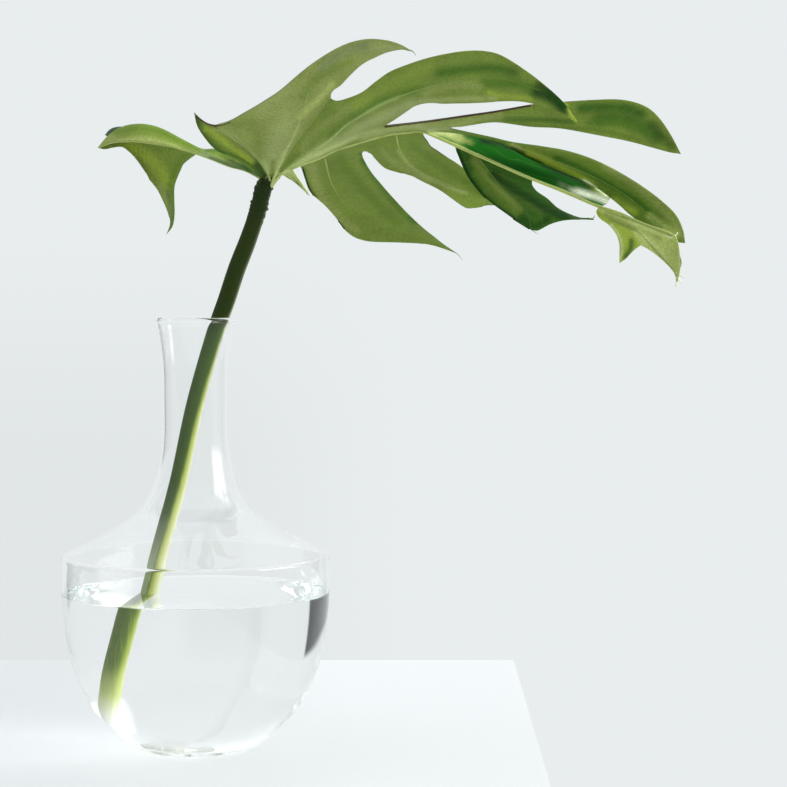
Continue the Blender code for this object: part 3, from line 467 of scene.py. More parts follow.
# Soft marks on the blade: the green, its reach in pixels, its strength, and the line that it follows. Besides
# the leaf's own greens, the marks paint light and shade: paler yellow-greens where light shines through the
# thin blade, and the painted shade, sheen and highlights noted below.
MARKS = [
    # the near lobes, from the petiole out
    "dark 6 0.8 196,117 201,130 211,143 224,155 240,166 256,175",
    "grass 8 0.6 202,126 212,138 226,150 240,160 254,170",
    "lime 6 0.7 206,128 216,135 228,144 240,153 250,162",
    "sage 6 0.7 216,128 228,132 238,141 248,150 256,158",
    "dark 8 0.8 244,166 252,171 262,176",
    "moss 12 0.6 236,124 248,122 256,134 262,150 268,164",
    "sage 18 0.9 268,168 274,150 280,136 288,120",
    "sage 10 0.5 262,108 276,98 290,86",
    "straw 6 0.8 300,116 308,108 316,101 324,92 332,84",
    "moss 8 0.8 304,96 310,84 322,74 338,66 350,60",
    "grey 9 0.45 322,66 340,54 358,47 368,44",
    "sage 7 0.7 372,46 388,46 402,48",
    "moss 7 0.5 290,164 298,146 306,130 316,116 327,104",
    "olive 7 0.6 302,146 314,132 330,120 346,108",
    "grass 6 0.9 330,136 346,122 362,110 380,99 398,92 420,86",
    "leek 3 0.8 336,133 352,120 368,108 384,99 400,94 424,88",
    "lime 9 0.2 356,104 374,92 392,82 410,72 430,66",
    "deep 10 0.8 440,72 458,70 476,68 496,68 514,72",
    "moss 5 0.7 430,60 458,54 486,55 512,62",
    "leek 9 0.6 486,80 504,80 520,84 532,92",
    "leek 7 0.7 480,84 500,84 520,84 534,86",
    "olive 7 0.7 426,92 446,86 464,84 480,86",
    "sage 10 0.95 300,162 320,150 344,137 366,124 388,114 412,104",
    "pale 4 0.6 292,166 312,156 334,146 356,136 376,130",
    "sage 5 0.7 420,100 444,99 470,98 496,98",
    "lime 5 0.6 490,92 506,96 522,97 532,98",
    "dark 11 0.95 538,92 548,96 556,101 562,107",
    "dark 7 0.8 540,84 550,92 560,102 567,110",
    "dark 6 0.7 552,92 560,100 566,108",
    "lime 3.4 1 560,97 566,104 570,112 574,119 577,122",
    "sage 8 0.9 362,136 384,130 404,126 424,125",
    "sage 6 0.9 420,127 440,127 456,125 470,122",
    "olive 6 0.9 426,125 450,122 474,118 500,114",
    "moss 6 0.8 506,112 530,111 552,113 566,116",
    "deep 5 0.7 506,119 530,119 552,120 572,122",
    "grass 4 0.8 510,123 540,126 570,128 600,130 640,140",
    "deep 10 0.9 582,108 604,107 626,108 642,114",
    "deep 12 0.8 600,118 622,118 642,126 656,138",
    "leek 8 0.7 590,122 612,122 634,126 650,132",
    "dark 9 0.6 652,124 662,136 672,146",
    "moss 5 0.9 516,143 540,147 564,151 590,158 612,169",
    "straw 4 0.8 512,144 520,148",
    "lime 7 0.9 526,151 546,160 566,170 586,181 604,193 618,203 634,212",
    "deep 5 1 556,157 576,165 596,176 616,188 636,200 652,214 662,226",
    "olive 8 0.8 606,166 626,178 644,191 660,206 674,222 682,236",
    "straw 7 0.7 650,216 664,226 676,234",
    # painted highlight: a white line along the lower margin of the last near lobe
    "white 2.2 1 584,179 596,187 606,195 616,204 627,214",
    # the dark upper side that shows behind the midrib
    # painted shade: darkest along its top edge, under the lobe that curls over it
    "night 6 0.9 482,141 500,143 516,150 536,160 556,171 576,179 592,188",
    "forest 9 0.9 478,148 500,155 522,164 546,176 566,186",
    "lime 3.6 0.95 528,152.5 540,157.5 552,162 563,167",
    # painted sheen and highlight: grey, then white, at its right end
    "grey 5 0.6 560,184 568,188 576,191",
    "white 6 0.95 576,191 590,195 604,200 618,208",
    # painted sheen: pale at its left end
    "sage 8 1 430,130 440,132 450,135 460,139",
    "pale 5 0.7 430,131 440,132 450,134 458,136",
    "olive 5 0.7 456,137 463,140 470,142",
    "straw 3 0.9 428,134 444,140 460,147 478,155",
    # the far lobes
    "olive 9 0.9 312,166 316,182 326,202 340,218 356,230",
    "grass 9 0.8 340,158 350,172 364,188 380,206 398,222",
    # painted shade: a dark band along this lobe's right edge
    "leek 5 0.7 362,160 376,180 392,200 412,222",
    "deep 3.6 0.8 362,158 378,179 396,200 416,222",
    "dark 2.6 0.9 303,167 306,178 312,192 326,207 338,221 347,233",
    "olive 6 0.7 382,150 392,160 408,170 428,180",
    "sage 4 0.7 398,150 408,163 422,174 442,184 464,192",
    "grass 8 0.8 412,144 428,156 446,168 466,182 484,196",
    "dark 2.4 0.9 360,153 368,156 378,166 398,174 414,179",
    "dark 3.4 1 458,150 462,160 468,174 478,189 492,203 508,214 528,228",
    # painted light and shade on the lobe that hangs below the midrib: lit greens left of its vein, a shaded
    # dark part right of it
    "moss 8 1 475,160 484,173 496,187 508,198 518,208",
    "grass 7 0.8 476,172 488,188 502,202 516,212",
    "grass 6 0.5 500,176 512,190 526,202 540,210",
    "dark 8 0.9 494,174 512,188 530,198 548,209 566,216",
    "dark 7 0.8 522,218 534,226 546,220",
    # painted light and shadow on the small far lobe by the apex: lit yellow-green on its left, shaded dark
    # green on its right
    "lime 5 0.9 620,232 625,244 623,256",
    "deep 5 0.9 632,240 631,248 626,256",
    "pale 2.6 1 611,224 618,232 622,242 622,252 619,262",
    "grass 2.4 0.7 600,207 618,214 640,222 660,230 672,235",
    "pale 2.4 0.8 600,210 618,217 640,225 660,233 672,237",
    "straw 4 0.9 548,192 576,206 598,216",
    "olive 4 0.9 606,214 624,222 642,231 660,238",
    "grass 2.2 0.8 610,219 627,226 640,232 648,241 660,254 674,270",
    "straw 8 0.95 640,232 652,240 664,252 671,264 676,278",
    "pale 4 0.8 644,236 656,246 666,258",
    # the lobe at the left, its fold and its hanging sheet
    "moss 7 0.8 112,132 128,128 146,128 164,133 184,143 204,153",
    "moss 7 1 120,134 140,132 160,135 180,144 196,151",
    "leek 3 0.5 124,131 142,129 160,132 178,141",
    "sage 2.4 0.8 120,140 140,139 160,141 180,148 200,155",
    "grass 6 0.8 116,131 126,128 144,126 162,131 182,142 198,150",
    "grass 5 0.9 206,151 222,154 238,160 252,169",
    "pale 4 0.6 264,160 268,168 271,176",
    "pale 4 0.6 284,152 279,164 275,176",
    "deep 2.5 0.8 206,150 222,151.5 238,157 252,166",
    "shade 5 1 210,158 222,162 238,168 252,174",
    "grey 5 0.7 202,153 208,155",
    "dark 7 0.85 256,165 261,172 266,179",
    "moss 4 0.7 272,173 273,160",
    "grass 4.5 0.8 281,169 288,162 298,154",
    "lime 12 0.8 128,147 146,156 160,168 166,180",
    "olive 6 0.8 160,186 166,200 171,214",
    "grass 6 0.6 184,156 176,168 170,184",
    "grass 4 0.6 172,186 173,202 174,218",
    "dusk 4 0.4 168,192 170,206 172,220 171,230",
]

# Main veins: radius in millimetres and green at the start and at the end, and the line that they follow on
# the side that shows. Those of ROOTED start from the petiole's end at VEIN_ROOT.
FORK_RADIUS = 0.0014
VEIN_ROOT = "270.5,188,6.8 273,181,7"
FORK_RIDGE = "268.5,177.5,9.6 272,178.8,9.3 275,178.5,9.3 279,176.3,9.6"
ROOTED = (0, 1, 2)
VEINS = [
    (0.75, 0.15, "pale", "moss", "269,176 265,167 259,159 252,152 243.6,143.6 232,135"),
    (0.85, 0.25, "pale", "sage", "275,174 279,165 284,153 292,138 298,125 302,114 305,102 309,90"),
    (0.9, 0.2, "pale", "grass", """279,174 291,165.5 307,154.5 330,139 344.6,125.5 362.5,114 380,104 398,96
     416,90 440,83.6 480,77 512,80 540,90"""),
    (0.35, 0.12, "sage", "leek", "416,127 440,126 460,124.5 480,121 510,118 540,117.5 566,119 600,122"),
    (0.4, 0.12, "sage", "grass", """512,144 526,149 540,154.5 565,164 591,175 606,183 627,196 642,209
     656,222 668,232"""),
    (0.65, 0.15, "straw", "moss", "325,157 327.5,169 332,183 340,196 350,207 364,219"),
    (0.55, 0.12, "straw", "moss", "396.5,134 397.5,143 402,153 410,163 420,171 438,180 456,187 474,192"),
    (0.5, 0.12, "olive", "dark", "480,160 486,167 494,178 505,190 517,199 532,208"),
    (0.35, 0.1, "sage", "grass", "198,152 186,146.5 172,142 156,139.5 140,139 124,140"),
    (0.35, 0.1, "sage", "leek", "610,219 627,226 640,232 648,241 660,254 674,270"),
]

# Dark or pale beads along a margin: the green, the radius in millimetres, and the line
BEADS = [
    ("plum", 0.55, "385,126.3 407,123.3 436,119.8 471,114.8 498,110.8 531,105.2"),
    ("plum", 0.5, "196,115 203,121.6 209,124.6 215,125.6 222,124.6 230,121.4"),
    ("dark", 0.4, "303.5,168 306,179 311,191.5 325,206 338,220 346,231"),
    ("dark", 0.4, "370,153.5 376,160 386,168 398,173 411,176 423,182 439,190"),
    ("dark", 0.55, "457,150 460.5,158.5 466.5,173 483,195.5 505.5,213.5 529,228.5"),
]

# Thin curled tips, dry ends and a dark flap: radius in millimetres at start and end, green, and guide
TIPS = [
    (0.35, 0.08, "leek", "409.5,50,-96 413.5,52,-97.5 416,55.5,-98"),
    (0.3, 0.05, "grey", "452,250.5,84 458,254.5,84.5 463,260.5,85"),
    (0.25, 0.05, "dark", "529,228,50 534,231.5,50.5 538.5,234.5,51"),
    (0.45, 0.12, "leek", "588,218.3,58.5 592,218.6,60 594.3,217.3,60 594.8,215.4,60"),
    (0.75, 0.2, "white", "677,272,-10.5 680.5,275.5,-10.5 684.5,277.5,-10.5"),
    (0.85, 0.2, "white", "677,277,-10.5 679.5,280,-10.5 681.5,282.5,-10.5"),
    (0.65, 0.2, "white", "677,281,-10 676.5,284,-10 675,287,-10"),
    (0.55, 0.25, "leek", "679.5,257,-12 681,263,-12 680,268,-11.5"),
    # painted highlight: a white line along the folded edge at the apex
    (0.42, 0.2, "white", "666,235.5,-14.5 671,237.5,-15 675.5,236,-14 677.6,232.5,-13"),
    (1.7, 0.9, "dusk", "107.5,136.5,31 110.5,131.8,31 115,129.2,30 122,128,30"),
]
TIP_STEPS = 12

# The midrib's rib: how deep it lies as a share of the blade's thickness, and its radius in metres at these
# points of MIDRIB
RIB_SINK = 0.8
RIB_RADII = ((0, 0.0006), (2, 0.0010), (5, 0.0010), (12, 0.0009), (18, 0.0009), (21, 0.0007), (29, 0.0002))

# Marks: the pale halo of the palest veins and the step between rays, in pixels. A mark paints only places
# within LAYER_GAP metres, and GAP_PER_PIXEL more per pixel of its reach, of what the nearest ray met.
VEIN_HALO = 3.0
HALO_STRENGTH = 0.35
MARK_STEP = 1.5
LAYER_GAP = 0.004
GAP_PER_PIXEL = 0.0012

# Ridges: the step between rays in pixels, the jump in metres that ends a run, how deep the centres lie under
# each side as shares of the radius, and how soon the radius and the green change along the line
RIDGE_STEP = 3
RIDGE_BREAK = 0.006
RIDGE_SIDES = 10
SINK_UNDER = 0.4
SINK_UPPER = 0.6
RADIUS_FADE = 0.7
GREEN_FADE = 0.75

# What a green in the picture is of the surface's own colour: the light on it, and its sheen
LIGHT = 0.76
SHEEN = 0.012

# Side veins: their distance on a lobe, their slant, and the swelling between them. It fades at the lobe's
# sides, over a share of its half width, and over these lengths at its start and its tip. RUN_SCALE is what
# a metre along a lobe is in its UV map.
VEIN_SPACING = 0.0085
VEIN_SLANT = 1.6
QUILT = 0.00022
QUILT_LEVEL = 0.6
QUILT_SIDES = 0.25
QUILT_START = 0.012
QUILT_END = 0.01
RUN_SCALE = 10


def green(name):
    """The surface colour, in linear light, that shows as the named green in the picture."""
    shown = np.array([((c / 255 + 0.055) / 1.055) ** 2.4 for c in GREENS[name]])
    return np.maximum((shown - SHEEN) / LIGHT, 0.003)


def centre_run(grid, shares):
    """How far each row is from the first, along the grid's middle column, in metres."""
    return run_along(grid[:, int(np.argmin(np.abs(shares[0])))])


def quilted(grid, shares):
    """The grid with its surface swelling a little between the side veins, and still at its edges."""
    across = np.gradient(grid, axis=1)
    down = np.gradient(grid, axis=0)
    normal = np.cross(across, down)
    normal /= np.maximum(np.linalg.norm(normal, axis=2, keepdims=True), 1e-12)
    run = centre_run(grid, shares)[:, None]
    phase = run / VEIN_SPACING - VEIN_SLANT * np.abs(shares)
    still = np.clip(1 - np.abs(shares), 0, QUILT_SIDES) / QUILT_SIDES * np.clip(run / QUILT_START, 0, 1)
    still = still * np.clip((run[-1] - run) / QUILT_END, 0, 1)
    return grid + normal * (QUILT * (np.abs(np.sin(math.pi * phase)) - QUILT_LEVEL) * still)[:, :, None]


class Sheet:
    """The blade being put together as one open sheet of quads that face up."""

    def __init__(self):
        self.bm = bmesh.new()
        layers = self.bm.verts.layers
        self.station = layers.float.new("station")
        self.tints = {side: layers.float_color.new(side) for side in ("under", "upper")}
        self.across = self.bm.loops.layers.uv.new("lobe")
        self.rim = self.bm.loops.layers.float_color.new("rim")

    def add(self, grid, shares, paint, flip, stations=None):
        run = centre_run(grid, shares)
        under, upper, inner, outer = [(*green(name), 1) for name in paint]
        verts = [[self.bm.verts.new(place) for place in row] for row in grid]
        for row in verts:
            for vert in row:
                vert[self.tints["under"]], vert[self.tints["upper"]] = under, upper
        if stations is not None:
            for vert, station in zip(verts[0], stations):
                vert[self.station] = station + 1
        for i in range(len(verts) - 1):
            for j in range(len(verts[0]) - 1):
                corners = [(i, j), (i, j + 1), (i + 1, j + 1), (i + 1, j)]
                if flip:
                    corners.reverse()
                face = self.bm.faces.new([verts[a][b] for a, b in corners])
                face.smooth = True
                for loop, (a, b) in zip(face.loops, corners):
                    loop[self.across].uv = (shares[a, b] / 2 + 0.5, run[a] * RUN_SCALE)
                    loop[self.rim] = outer if shares[a, b] > 0 else inner


class Brush:
    """Finds what the front view sees of the sheet, and paints marks there."""

    def __init__(self, sheet):
        self.sheet = sheet
        self.tree = BVHTree.FromBMesh(sheet.bm)
        self.verts = list(sheet.bm.verts)
        self.places = np.array([v.co for v in self.verts])
        self.spots = on_screen(self.places)
        self.tints = {side: np.array([v[layer] for v in self.verts]) for side, layer in sheet.tints.items()}

    def touch(self, line, step):
        """What rays through a line of pixels meet: place, normal, whether the under side shows, pixel."""
        fine = finely(line, 12)
        length = run_along(fine)[-1]
        touched = []
        for spot in at_runs(fine, np.linspace(0, length, max(int(length / step), 2))):
            ray = Vector(seen(*spot, 0) - EYE).normalized()
            place, normal, _, _ = self.tree.ray_cast(Vector(EYE), ray)
            if place is not None:
                touched.append((place, normal, normal.dot(ray) > 0, spot))
        return touched

    def mark(self, name, reach, strength, line):
        touched = self.touch(line, MARK_STEP)
        tint = np.array((*green(name), 1))
        for side, shows in (("under", True), ("upper", False)):
            hits = [hit for hit in touched if hit[2] == shows]
            if not hits:
                continue
            spots = np.array([hit[3] for hit in hits])
            away = np.linalg.norm(self.spots[:, None] - spots[None], axis=2)
            nearest = away.argmin(axis=1)
            gap = np.linalg.norm(self.places - np.array([hit[0] for hit in hits])[nearest], axis=1)
            t = np.clip(away.min(axis=1) / reach, 0, 1)
            share = strength * (1 - t * t * (3 - 2 * t)) * (gap < LAYER_GAP + GAP_PER_PIXEL * reach)
            self.tints[side] += (tint - self.tints[side]) * share[:, None]

    def done(self):
        for side, layer in self.sheet.tints.items():
            for vert, tint in zip(self.verts, self.tints[side]):
                vert[layer] = tint


def even_shares(grid):
    return np.tile(np.linspace(0, 1, grid.shape[1]), (grid.shape[0], 1))


def blade_sheet():
    sheet = Sheet()
    grids = []
    for number, lobe in enumerate(LOBES):
        grid, shares = lobe_grid(lobe)
        grid = quilted(grid, shares)
        grids.append(grid)
        sheet.add(grid, shares, PAINT[number], lobe["side"] == "near", midrib_base(lobe["base"])[1])
    first, last = round(FINE * TAIL_ROOT[0]), round(FINE * TAIL_ROOT[1])
    tail, shares = tail_grid(grids[TAIL_LOBE][first:last + 1, -1][::-1])
    sheet.add(tail, shares, PAINT[11], False)
    strip = strip_grid()
    sheet.add(strip, even_shares(strip), PAINT[12], True, midrib_base(STRIP_BASE)[1])
    for edge, joined, flip, paint in ((APEX_FAR, seam("far 5-apex"), True, PAINT[13]),
                                      (APEX_NEAR, strip[:, -1], False, PAINT[14])):
        grid = apex_grid(edge, joined)
        sheet.add(grid, even_shares(grid), paint, flip)
    bm = sheet.bm
    bmesh.ops.remove_doubles(bm, verts=bm.verts[:], dist=1e-5)
    bmesh.ops.dissolve_degenerate(bm, edges=bm.edges[:], dist=1e-6)
    fork = Vector(MIDRIB_PLACES[FORK])
    inside = [v for v in bm.verts if not v.is_boundary and (v.co - fork).length > FORK_REACH]
    for _ in range(4 * FINE):
        bmesh.ops.smooth_vert(
            bm, verts=inside, factor=SMOOTHING, use_axis_x=True, use_axis_y=True, use_axis_z=True)
    bm.normal_update()
    for vert in bm.verts:
        vert.co += vert.normal * sum(noise.noise(vert.co * scale) * height for scale, height in WAVES)
    bm.normal_update()
    return sheet


def new_object(name, bm, *materials):
    mesh = bpy.data.meshes.new(name)
    bm.to_mesh(mesh)
    bm.free()
    obj = bpy.data.objects.new(name, mesh)
    bpy.context.scene.collection.objects.link(obj)
    for material in materials:
        mesh.materials.append(material)
    return obj


def sweep(bm, centres, radius_at, sides, tints=None):
    """Adds a closed tube of radius radius_at(i, angle) along the centres. tints has a colour per centre."""
    centres = [Vector(c) for c in centres]
    side = Vector((1, 0, 0))
    turn = bm.loops.layers.uv.get("turn") or bm.loops.layers.uv.new("turn")
    tint = bm.verts.layers.float_color.get("tint") or bm.verts.layers.float_color.new("tint")
    rings = []
    for i, centre in enumerate(centres):
        tangent = (centres[min(i + 1, len(centres) - 1)] - centres[max(i - 1, 0)]).normalized()
        side = (side - tangent * side.dot(tangent)).normalized()
        up = tangent.cross(side)
        ring = []
        for k in range(sides):
            angle = 2 * math.pi * k / sides
            radius = radius_at(i, angle)
            place = centre + side * (math.cos(angle) * radius)
            ring.append(bm.verts.new(place + up * (math.sin(angle) * radius)))
            if tints is not None:
                ring[-1][tint] = tints[i]
        rings.append(ring)
    for lower, upper in zip(rings, rings[1:]):
        for k in range(sides):
            n = (k + 1) % sides
            face = bm.faces.new((lower[k], lower[n], upper[n], upper[k]))
            face.smooth = True
            for loop, edge in zip(face.loops, (k, k + 1, k + 1, k)):
                loop[turn].uv = (edge / sides, 0)
    bm.faces.new(rings[0][::-1])
    bm.faces.new(rings[-1])


def closed_object(name, bm, material):
    bmesh.ops.recalc_face_normals(bm, faces=bm.faces[:])
    return new_object(name, bm, material)


def make_blade(materials):
    """The blade, and by piece the lines of its veins, margins and tips: centres, radii and greens."""
    sheet = blade_sheet()
    brush = Brush(sheet)
    for mark in MARKS:
        name, reach, strength, line = mark.split(maxsplit=3)
        brush.mark(name, float(reach), float(strength), points_of(line))
    for _, _, name, _, line in VEINS:
        if name == "pale":
            line = points_of(line)
            brush.mark(name, VEIN_HALO, HALO_STRENGTH, line[:len(line) * 2 // 3])
    brush.done()
    ribs = [(v[sheet.station] - 1, v.co.copy(), v.normal.copy())
            for v in sheet.bm.verts if v[sheet.station] > 0]
    ribs.sort(key=lambda entry: entry[0])
    radii = np.interp([rib[0] for rib in ribs], [s for s, _ in RIB_RADII], [r for _, r in RIB_RADII])
    rib = [co - normal * BLADE_THICKNESS * RIB_SINK for _, co, normal in ribs]
    lines = {"leaf_veins": [(rib, radii, ("pale", "straw"))], "leaf_margin": [], "leaf_tips": []}
    across_fork = along(places(FORK_RIDGE), TIP_STEPS)
    lines["leaf_veins"].append((across_fork, np.full(TIP_STEPS + 1, FORK_RADIUS), ("moss", "moss")))
    for number, (start, end, first, last, line) in enumerate(VEINS):
        for centres, radii in ridge(brush.touch(points_of(line), RIDGE_STEP), start / 1000, end / 1000):
            if number in ROOTED:
                root = [Vector(place) for place in places(VEIN_ROOT)]
                centres[:0] = root
                radii[:0] = [start / 1000] * len(root)
            lines["leaf_veins"].append((centres, radii, (first, last)))
    for name, radius, line in BEADS:
        for centres, radii in ridge(brush.touch(points_of(line), RIDGE_STEP), radius / 1000, radius / 1000):
            lines["leaf_margin"].append((centres, radii, (name, name)))
    for start, end, name, line in TIPS:
        centres = along(places(line), TIP_STEPS)
        radii = np.linspace(start / 1000, end / 1000, TIP_STEPS + 1)
        lines["leaf_tips"].append((centres, radii, (name, name)))
    obj = new_object("monstera_blade", sheet.bm, *materials)
    solid = obj.modifiers.new("Thickness", "SOLIDIFY")
    solid.thickness = BLADE_THICKNESS
    solid.offset = -1
    solid.material_offset = 1
    solid.material_offset_rim = 2
    return obj, lines


def ridge(touched, start, end):
    """The runs of a line that stay on one layer of the blade, as centres and radii."""
    runs = []
    previous = None
    for i, (place, normal, under, _) in enumerate(touched):
        share = i / len(touched)
        radius = start + (end - start) * share ** RADIUS_FADE
        depth = BLADE_THICKNESS - radius * SINK_UNDER if under else radius * SINK_UPPER
        centre = place - normal * depth
        if previous is None or (centre - previous).length > RIDGE_BREAK:
            runs.append(([], []))
        runs[-1][0].append(centre)
        runs[-1][1].append(radius)
        previous = centre
    return [run for run in runs if len(run[0]) > 3]


def evened(centres):
    """The line with its small steps smoothed out."""
    points = np.array([tuple(c) for c in centres])
    for _ in range(4):
        points[1:-1] = points[1:-1] * 0.5 + (points[:-2] + points[2:]) * 0.25
    return points


def make_ridges(piece, lines, material):
    """Tapered ridges along the lines, each with its greens fading from the first to the last."""
    bm = bmesh.new()
    for centres, radii, names in lines:
        first, last = (green(name) for name in names)
        shares = np.linspace(0, 1, len(centres)) ** GREEN_FADE
        tints = [(*(first + (last - first) * share), 1) for share in shares]
        sweep(bm, evened(centres), lambda i, angle: radii[i], RIDGE_SIDES, tints)
    obj = closed_object(piece, bm, material)
    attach(obj, "root")


def petiole_places():
    """The petiole's centres, closer together on the knee, and how far each is from the top."""
    fine = along([seen(*PETIOLE_TOP)] + places(PETIOLE), 600)
    on_knee = np.linspace(0, KNEE_LENGTH, KNEE_RINGS)
    wanted = np.concatenate((on_knee, np.linspace(KNEE_LENGTH, run_along(fine)[-1], STALK_RINGS)[1:]))
    return at_runs(fine, wanted), wanted


def make_petiole(material):
    """The stalk with its dark wrinkled knee: ragged folds on the knee, faint ribs along the stalk."""
    line, runs = petiole_places()
    random.seed(7)
    folds = [(random.uniform(0.001, KNEE_LENGTH), random.uniform(0, 2 * math.pi), random.uniform(0.3, 1.0))
             for _ in range(KNEE_FOLDS)]

    def radius_at(i, angle):
        run = runs[i]
        blend = min(max((run - KNEE_LENGTH * KNEE_BLEND) / KNEE_LENGTH, 0), 1)
        radius = KNEE_RADIUS + (PETIOLE_RADIUS - KNEE_RADIUS) * blend
        radius *= 0.75 + 0.25 * min(run / TOP_ROUNDING, 1)
        for place, towards, height in folds:
            near = math.exp(-((run - place) / FOLD_WIDTH) ** 2) * math.exp(math.cos(angle - towards) * 2 - 2)
            radius += FOLD_HEIGHT * height * near
        ribs = STALK_RIB_HEIGHT * math.cos(STALK_RIBS * angle) * blend
        return radius * (1 - STALK_FLATNESS * math.cos(angle) * blend) + ribs

    bm = bmesh.new()
    sweep(bm, line, radius_at, PETIOLE_SIDES)
    return closed_object("leaf_petiole", bm, material)


def turned(name, profile, material):
    """Turns (radius, height) points round the vertical axis, from axis to axis, sharp at the corners."""
    bm = bmesh.new()
    turns = [2 * math.pi * k / TURN_STEPS for k in range(TURN_STEPS)]
    rings = []
    for radius, height in profile:
        if radius > 0:
            rings.append([bm.verts.new((radius * math.cos(t), radius * math.sin(t), height)) for t in turns])
        else:
            rings.append([bm.verts.new((0, 0, height))])
    for lower, upper in zip(rings, rings[1:]):
        for k in range(TURN_STEPS):
            n = (k + 1) % TURN_STEPS
            corners = [ring[i % len(ring)] for ring, i in ((lower, k), (lower, n), (upper, n), (upper, k))]
            bm.faces.new(list(dict.fromkeys(corners))).smooth = True
    runs = np.diff(np.array(profile), axis=0)
    runs /= np.linalg.norm(runs, axis=1)[:, None]
    for ring, before, after in zip(rings[1:-1], runs, runs[1:]):
        if before @ after < CORNER_COSINE:
            for k in range(TURN_STEPS):
                bm.edges.get((ring[k], ring[(k + 1) % TURN_STEPS])).smooth = False
    return closed_object(name, bm, material)


def fillet(before, corner, after, radius):
    """The points of a rounded corner."""
    before, corner, after = (np.array(p) for p in (before, corner, after))
    back = (before - corner) / np.linalg.norm(before - corner)
    on = (after - corner) / np.linalg.norm(after - corner)
    half = math.acos(np.clip(back @ on, -1, 1)) / 2
    centre = corner + (back + on) / np.linalg.norm(back + on) * radius / math.sin(half)
    start = corner + back * radius / math.tan(half) - centre
    end = corner + on * radius / math.tan(half) - centre
    total = math.acos(np.clip(start @ end / radius ** 2, -1, 1))
    points = []
    for t in np.linspace(0, 1, FILLET_STEPS + 1):
        arm = start * math.sin((1 - t) * total) + end * math.sin(t * total)
        points.append(centre + arm / math.sin(total))
    return [tuple(p) for p in points]


def smooth_profile(points):
    return [(max(radius, 0), height) for radius, height in finely(points, PROFILE_STEPS)]


# The carafe's outer outline below the lip, as (radius, height): lip to shoulder, then shoulder to foot
NECK_OUTLINE = [
    (LIP_RADIUS, VASE_HEIGHT), (0.0202, 0.228), (0.0183, 0.213), (NECK_RADIUS, 0.192), (NECK_RADIUS, 0.1755),
    (0.0191, 0.163), (0.0221, 0.1497), (0.0259, 0.1407), (0.0314, 0.1326), (0.0422, 0.1246), (0.0590, 0.1150),
    (0.0700, 0.1098),
]
BOWL_OUTLINE = [
    (SHOULDER_RADIUS, SHOULDER_HEIGHT - 0.0022), (SHOULDER_RADIUS, BOWL_TOP), (0.0714, 0.064),
    (0.0680, 0.0470), (0.0633, 0.0355), (0.0575, 0.0250), (0.0494, 0.0157), (0.0383, 0.0055),
    (0.0312, 0.0015), (FOOT_RADIUS, 0.0),
]


def offset_inwards(outline, distance):
    """The outline moved to its inner side."""
    points = np.array(outline)
    run = np.gradient(points, axis=0)
    run /= np.linalg.norm(run, axis=1)[:, None]
    return points + np.column_stack((run[:, 1], -run[:, 0])) * distance


def vase_outlines():
    """The outer outline from lip to foot, and the inner one from lip to the middle of the floor."""
    neck = smooth_profile(NECK_OUTLINE)
    bowl = smooth_profile(BOWL_OUTLINE)
    slope = (neck[-1][1] - neck[-2][1]) / (neck[-1][0] - neck[-2][0])
    corner = (SHOULDER_RADIUS, neck[-1][1] + slope * (SHOULDER_RADIUS - neck[-1][0]))
    bend = fillet(neck[-1], corner, bowl[1], SHOULDER_ROUNDING)
    outer = [p for p in neck if p[0] < bend[0][0] - LEAST_STEP or p[1] > NECK_END] + bend
    outer += [p for p in bowl if p[1] < bend[-1][1] - LEAST_STEP]
    inner = [tuple(p) for p in offset_inwards(outer, WALL) if p[1] > FLOOR_THICKNESS]
    return outer, inner


def make_vase(material):
    outer, inner = vase_outlines()
    middle = (outer[0][0] - RIM_RADIUS, VASE_HEIGHT - RIM_RADIUS)
    rim = [(middle[0] - math.cos(t) * RIM_RADIUS, middle[1] + math.sin(t) * RIM_RADIUS)
           for t in np.linspace(-0.7, math.pi + 0.2, RIM_STEPS)]
    inside = [p for p in inner if p[1] < middle[1] - RIM_RADIUS]
    outside = [p for p in outer if p[1] < middle[1] - RIM_RADIUS]
    bend = fillet(inside[-2], inside[-1], (0, FLOOR_THICKNESS), FLOOR_ROUNDING)
    hollow = [(0, FLOOR_THICKNESS)] + bend[::-1] + inside[:-1][::-1]
    return turned("glass_carafe", hollow + rim + outside[:-1] + [(FOOT_RADIUS, 0), (0, 0)], material)


def make_water(material):
    """The water, a hair larger than the carafe's inside so that no air shows between them."""
    _, inner = vase_outlines()
    wet = [tuple(p) for p in offset_inwards(inner, -OVERLAP) if p[1] < WATER_HEIGHT - 0.0005]
    top = wet[0][0]
    across = np.linspace(0, 1, MENISCUS_STEPS)
    surface = [(top - MENISCUS * (1 - t), WATER_HEIGHT - MENISCUS_HEIGHT * (1 - t ** 3)) for t in across]
    profile = [(0, surface[0][1])] + surface + wet[1:-1] + [(wet[-2][0] - 0.002, FLOOR_THICKNESS - OVERLAP),
                                                            (0, FLOOR_THICKNESS - OVERLAP)]
    return turned("carafe_water", profile, material)


# The blade's pattern: half widths of the side veins and the finer lines, as shares of their spacing, the
# net's cells per metre, and the greens of the net, the finer veins and the side veins
VEIN_LINE = 0.06
NET_LINE = 0.12
NET_SCALE = 420
NET_GREEN = (0.03, 0.07, 0.01, 1)
FINE_GREEN = (0.03, 0.06, 0.01, 1)
SIDE_GREEN = (0.42, 0.50, 0.19, 1)

# The petiole's colours change between these heights in metres. Its pale band, painted light on the side that
# faces the window on the right, starts where the cosine of the angle round it passes a slope times the height
# plus a constant: over the water, and under it.
OVER_NECK = (0.222, 0.245)
ON_KNEE = (0.285, 0.305)
AT_WATER = (0.080, 0.088)
LOW_STALK = (0.095, 0.135)
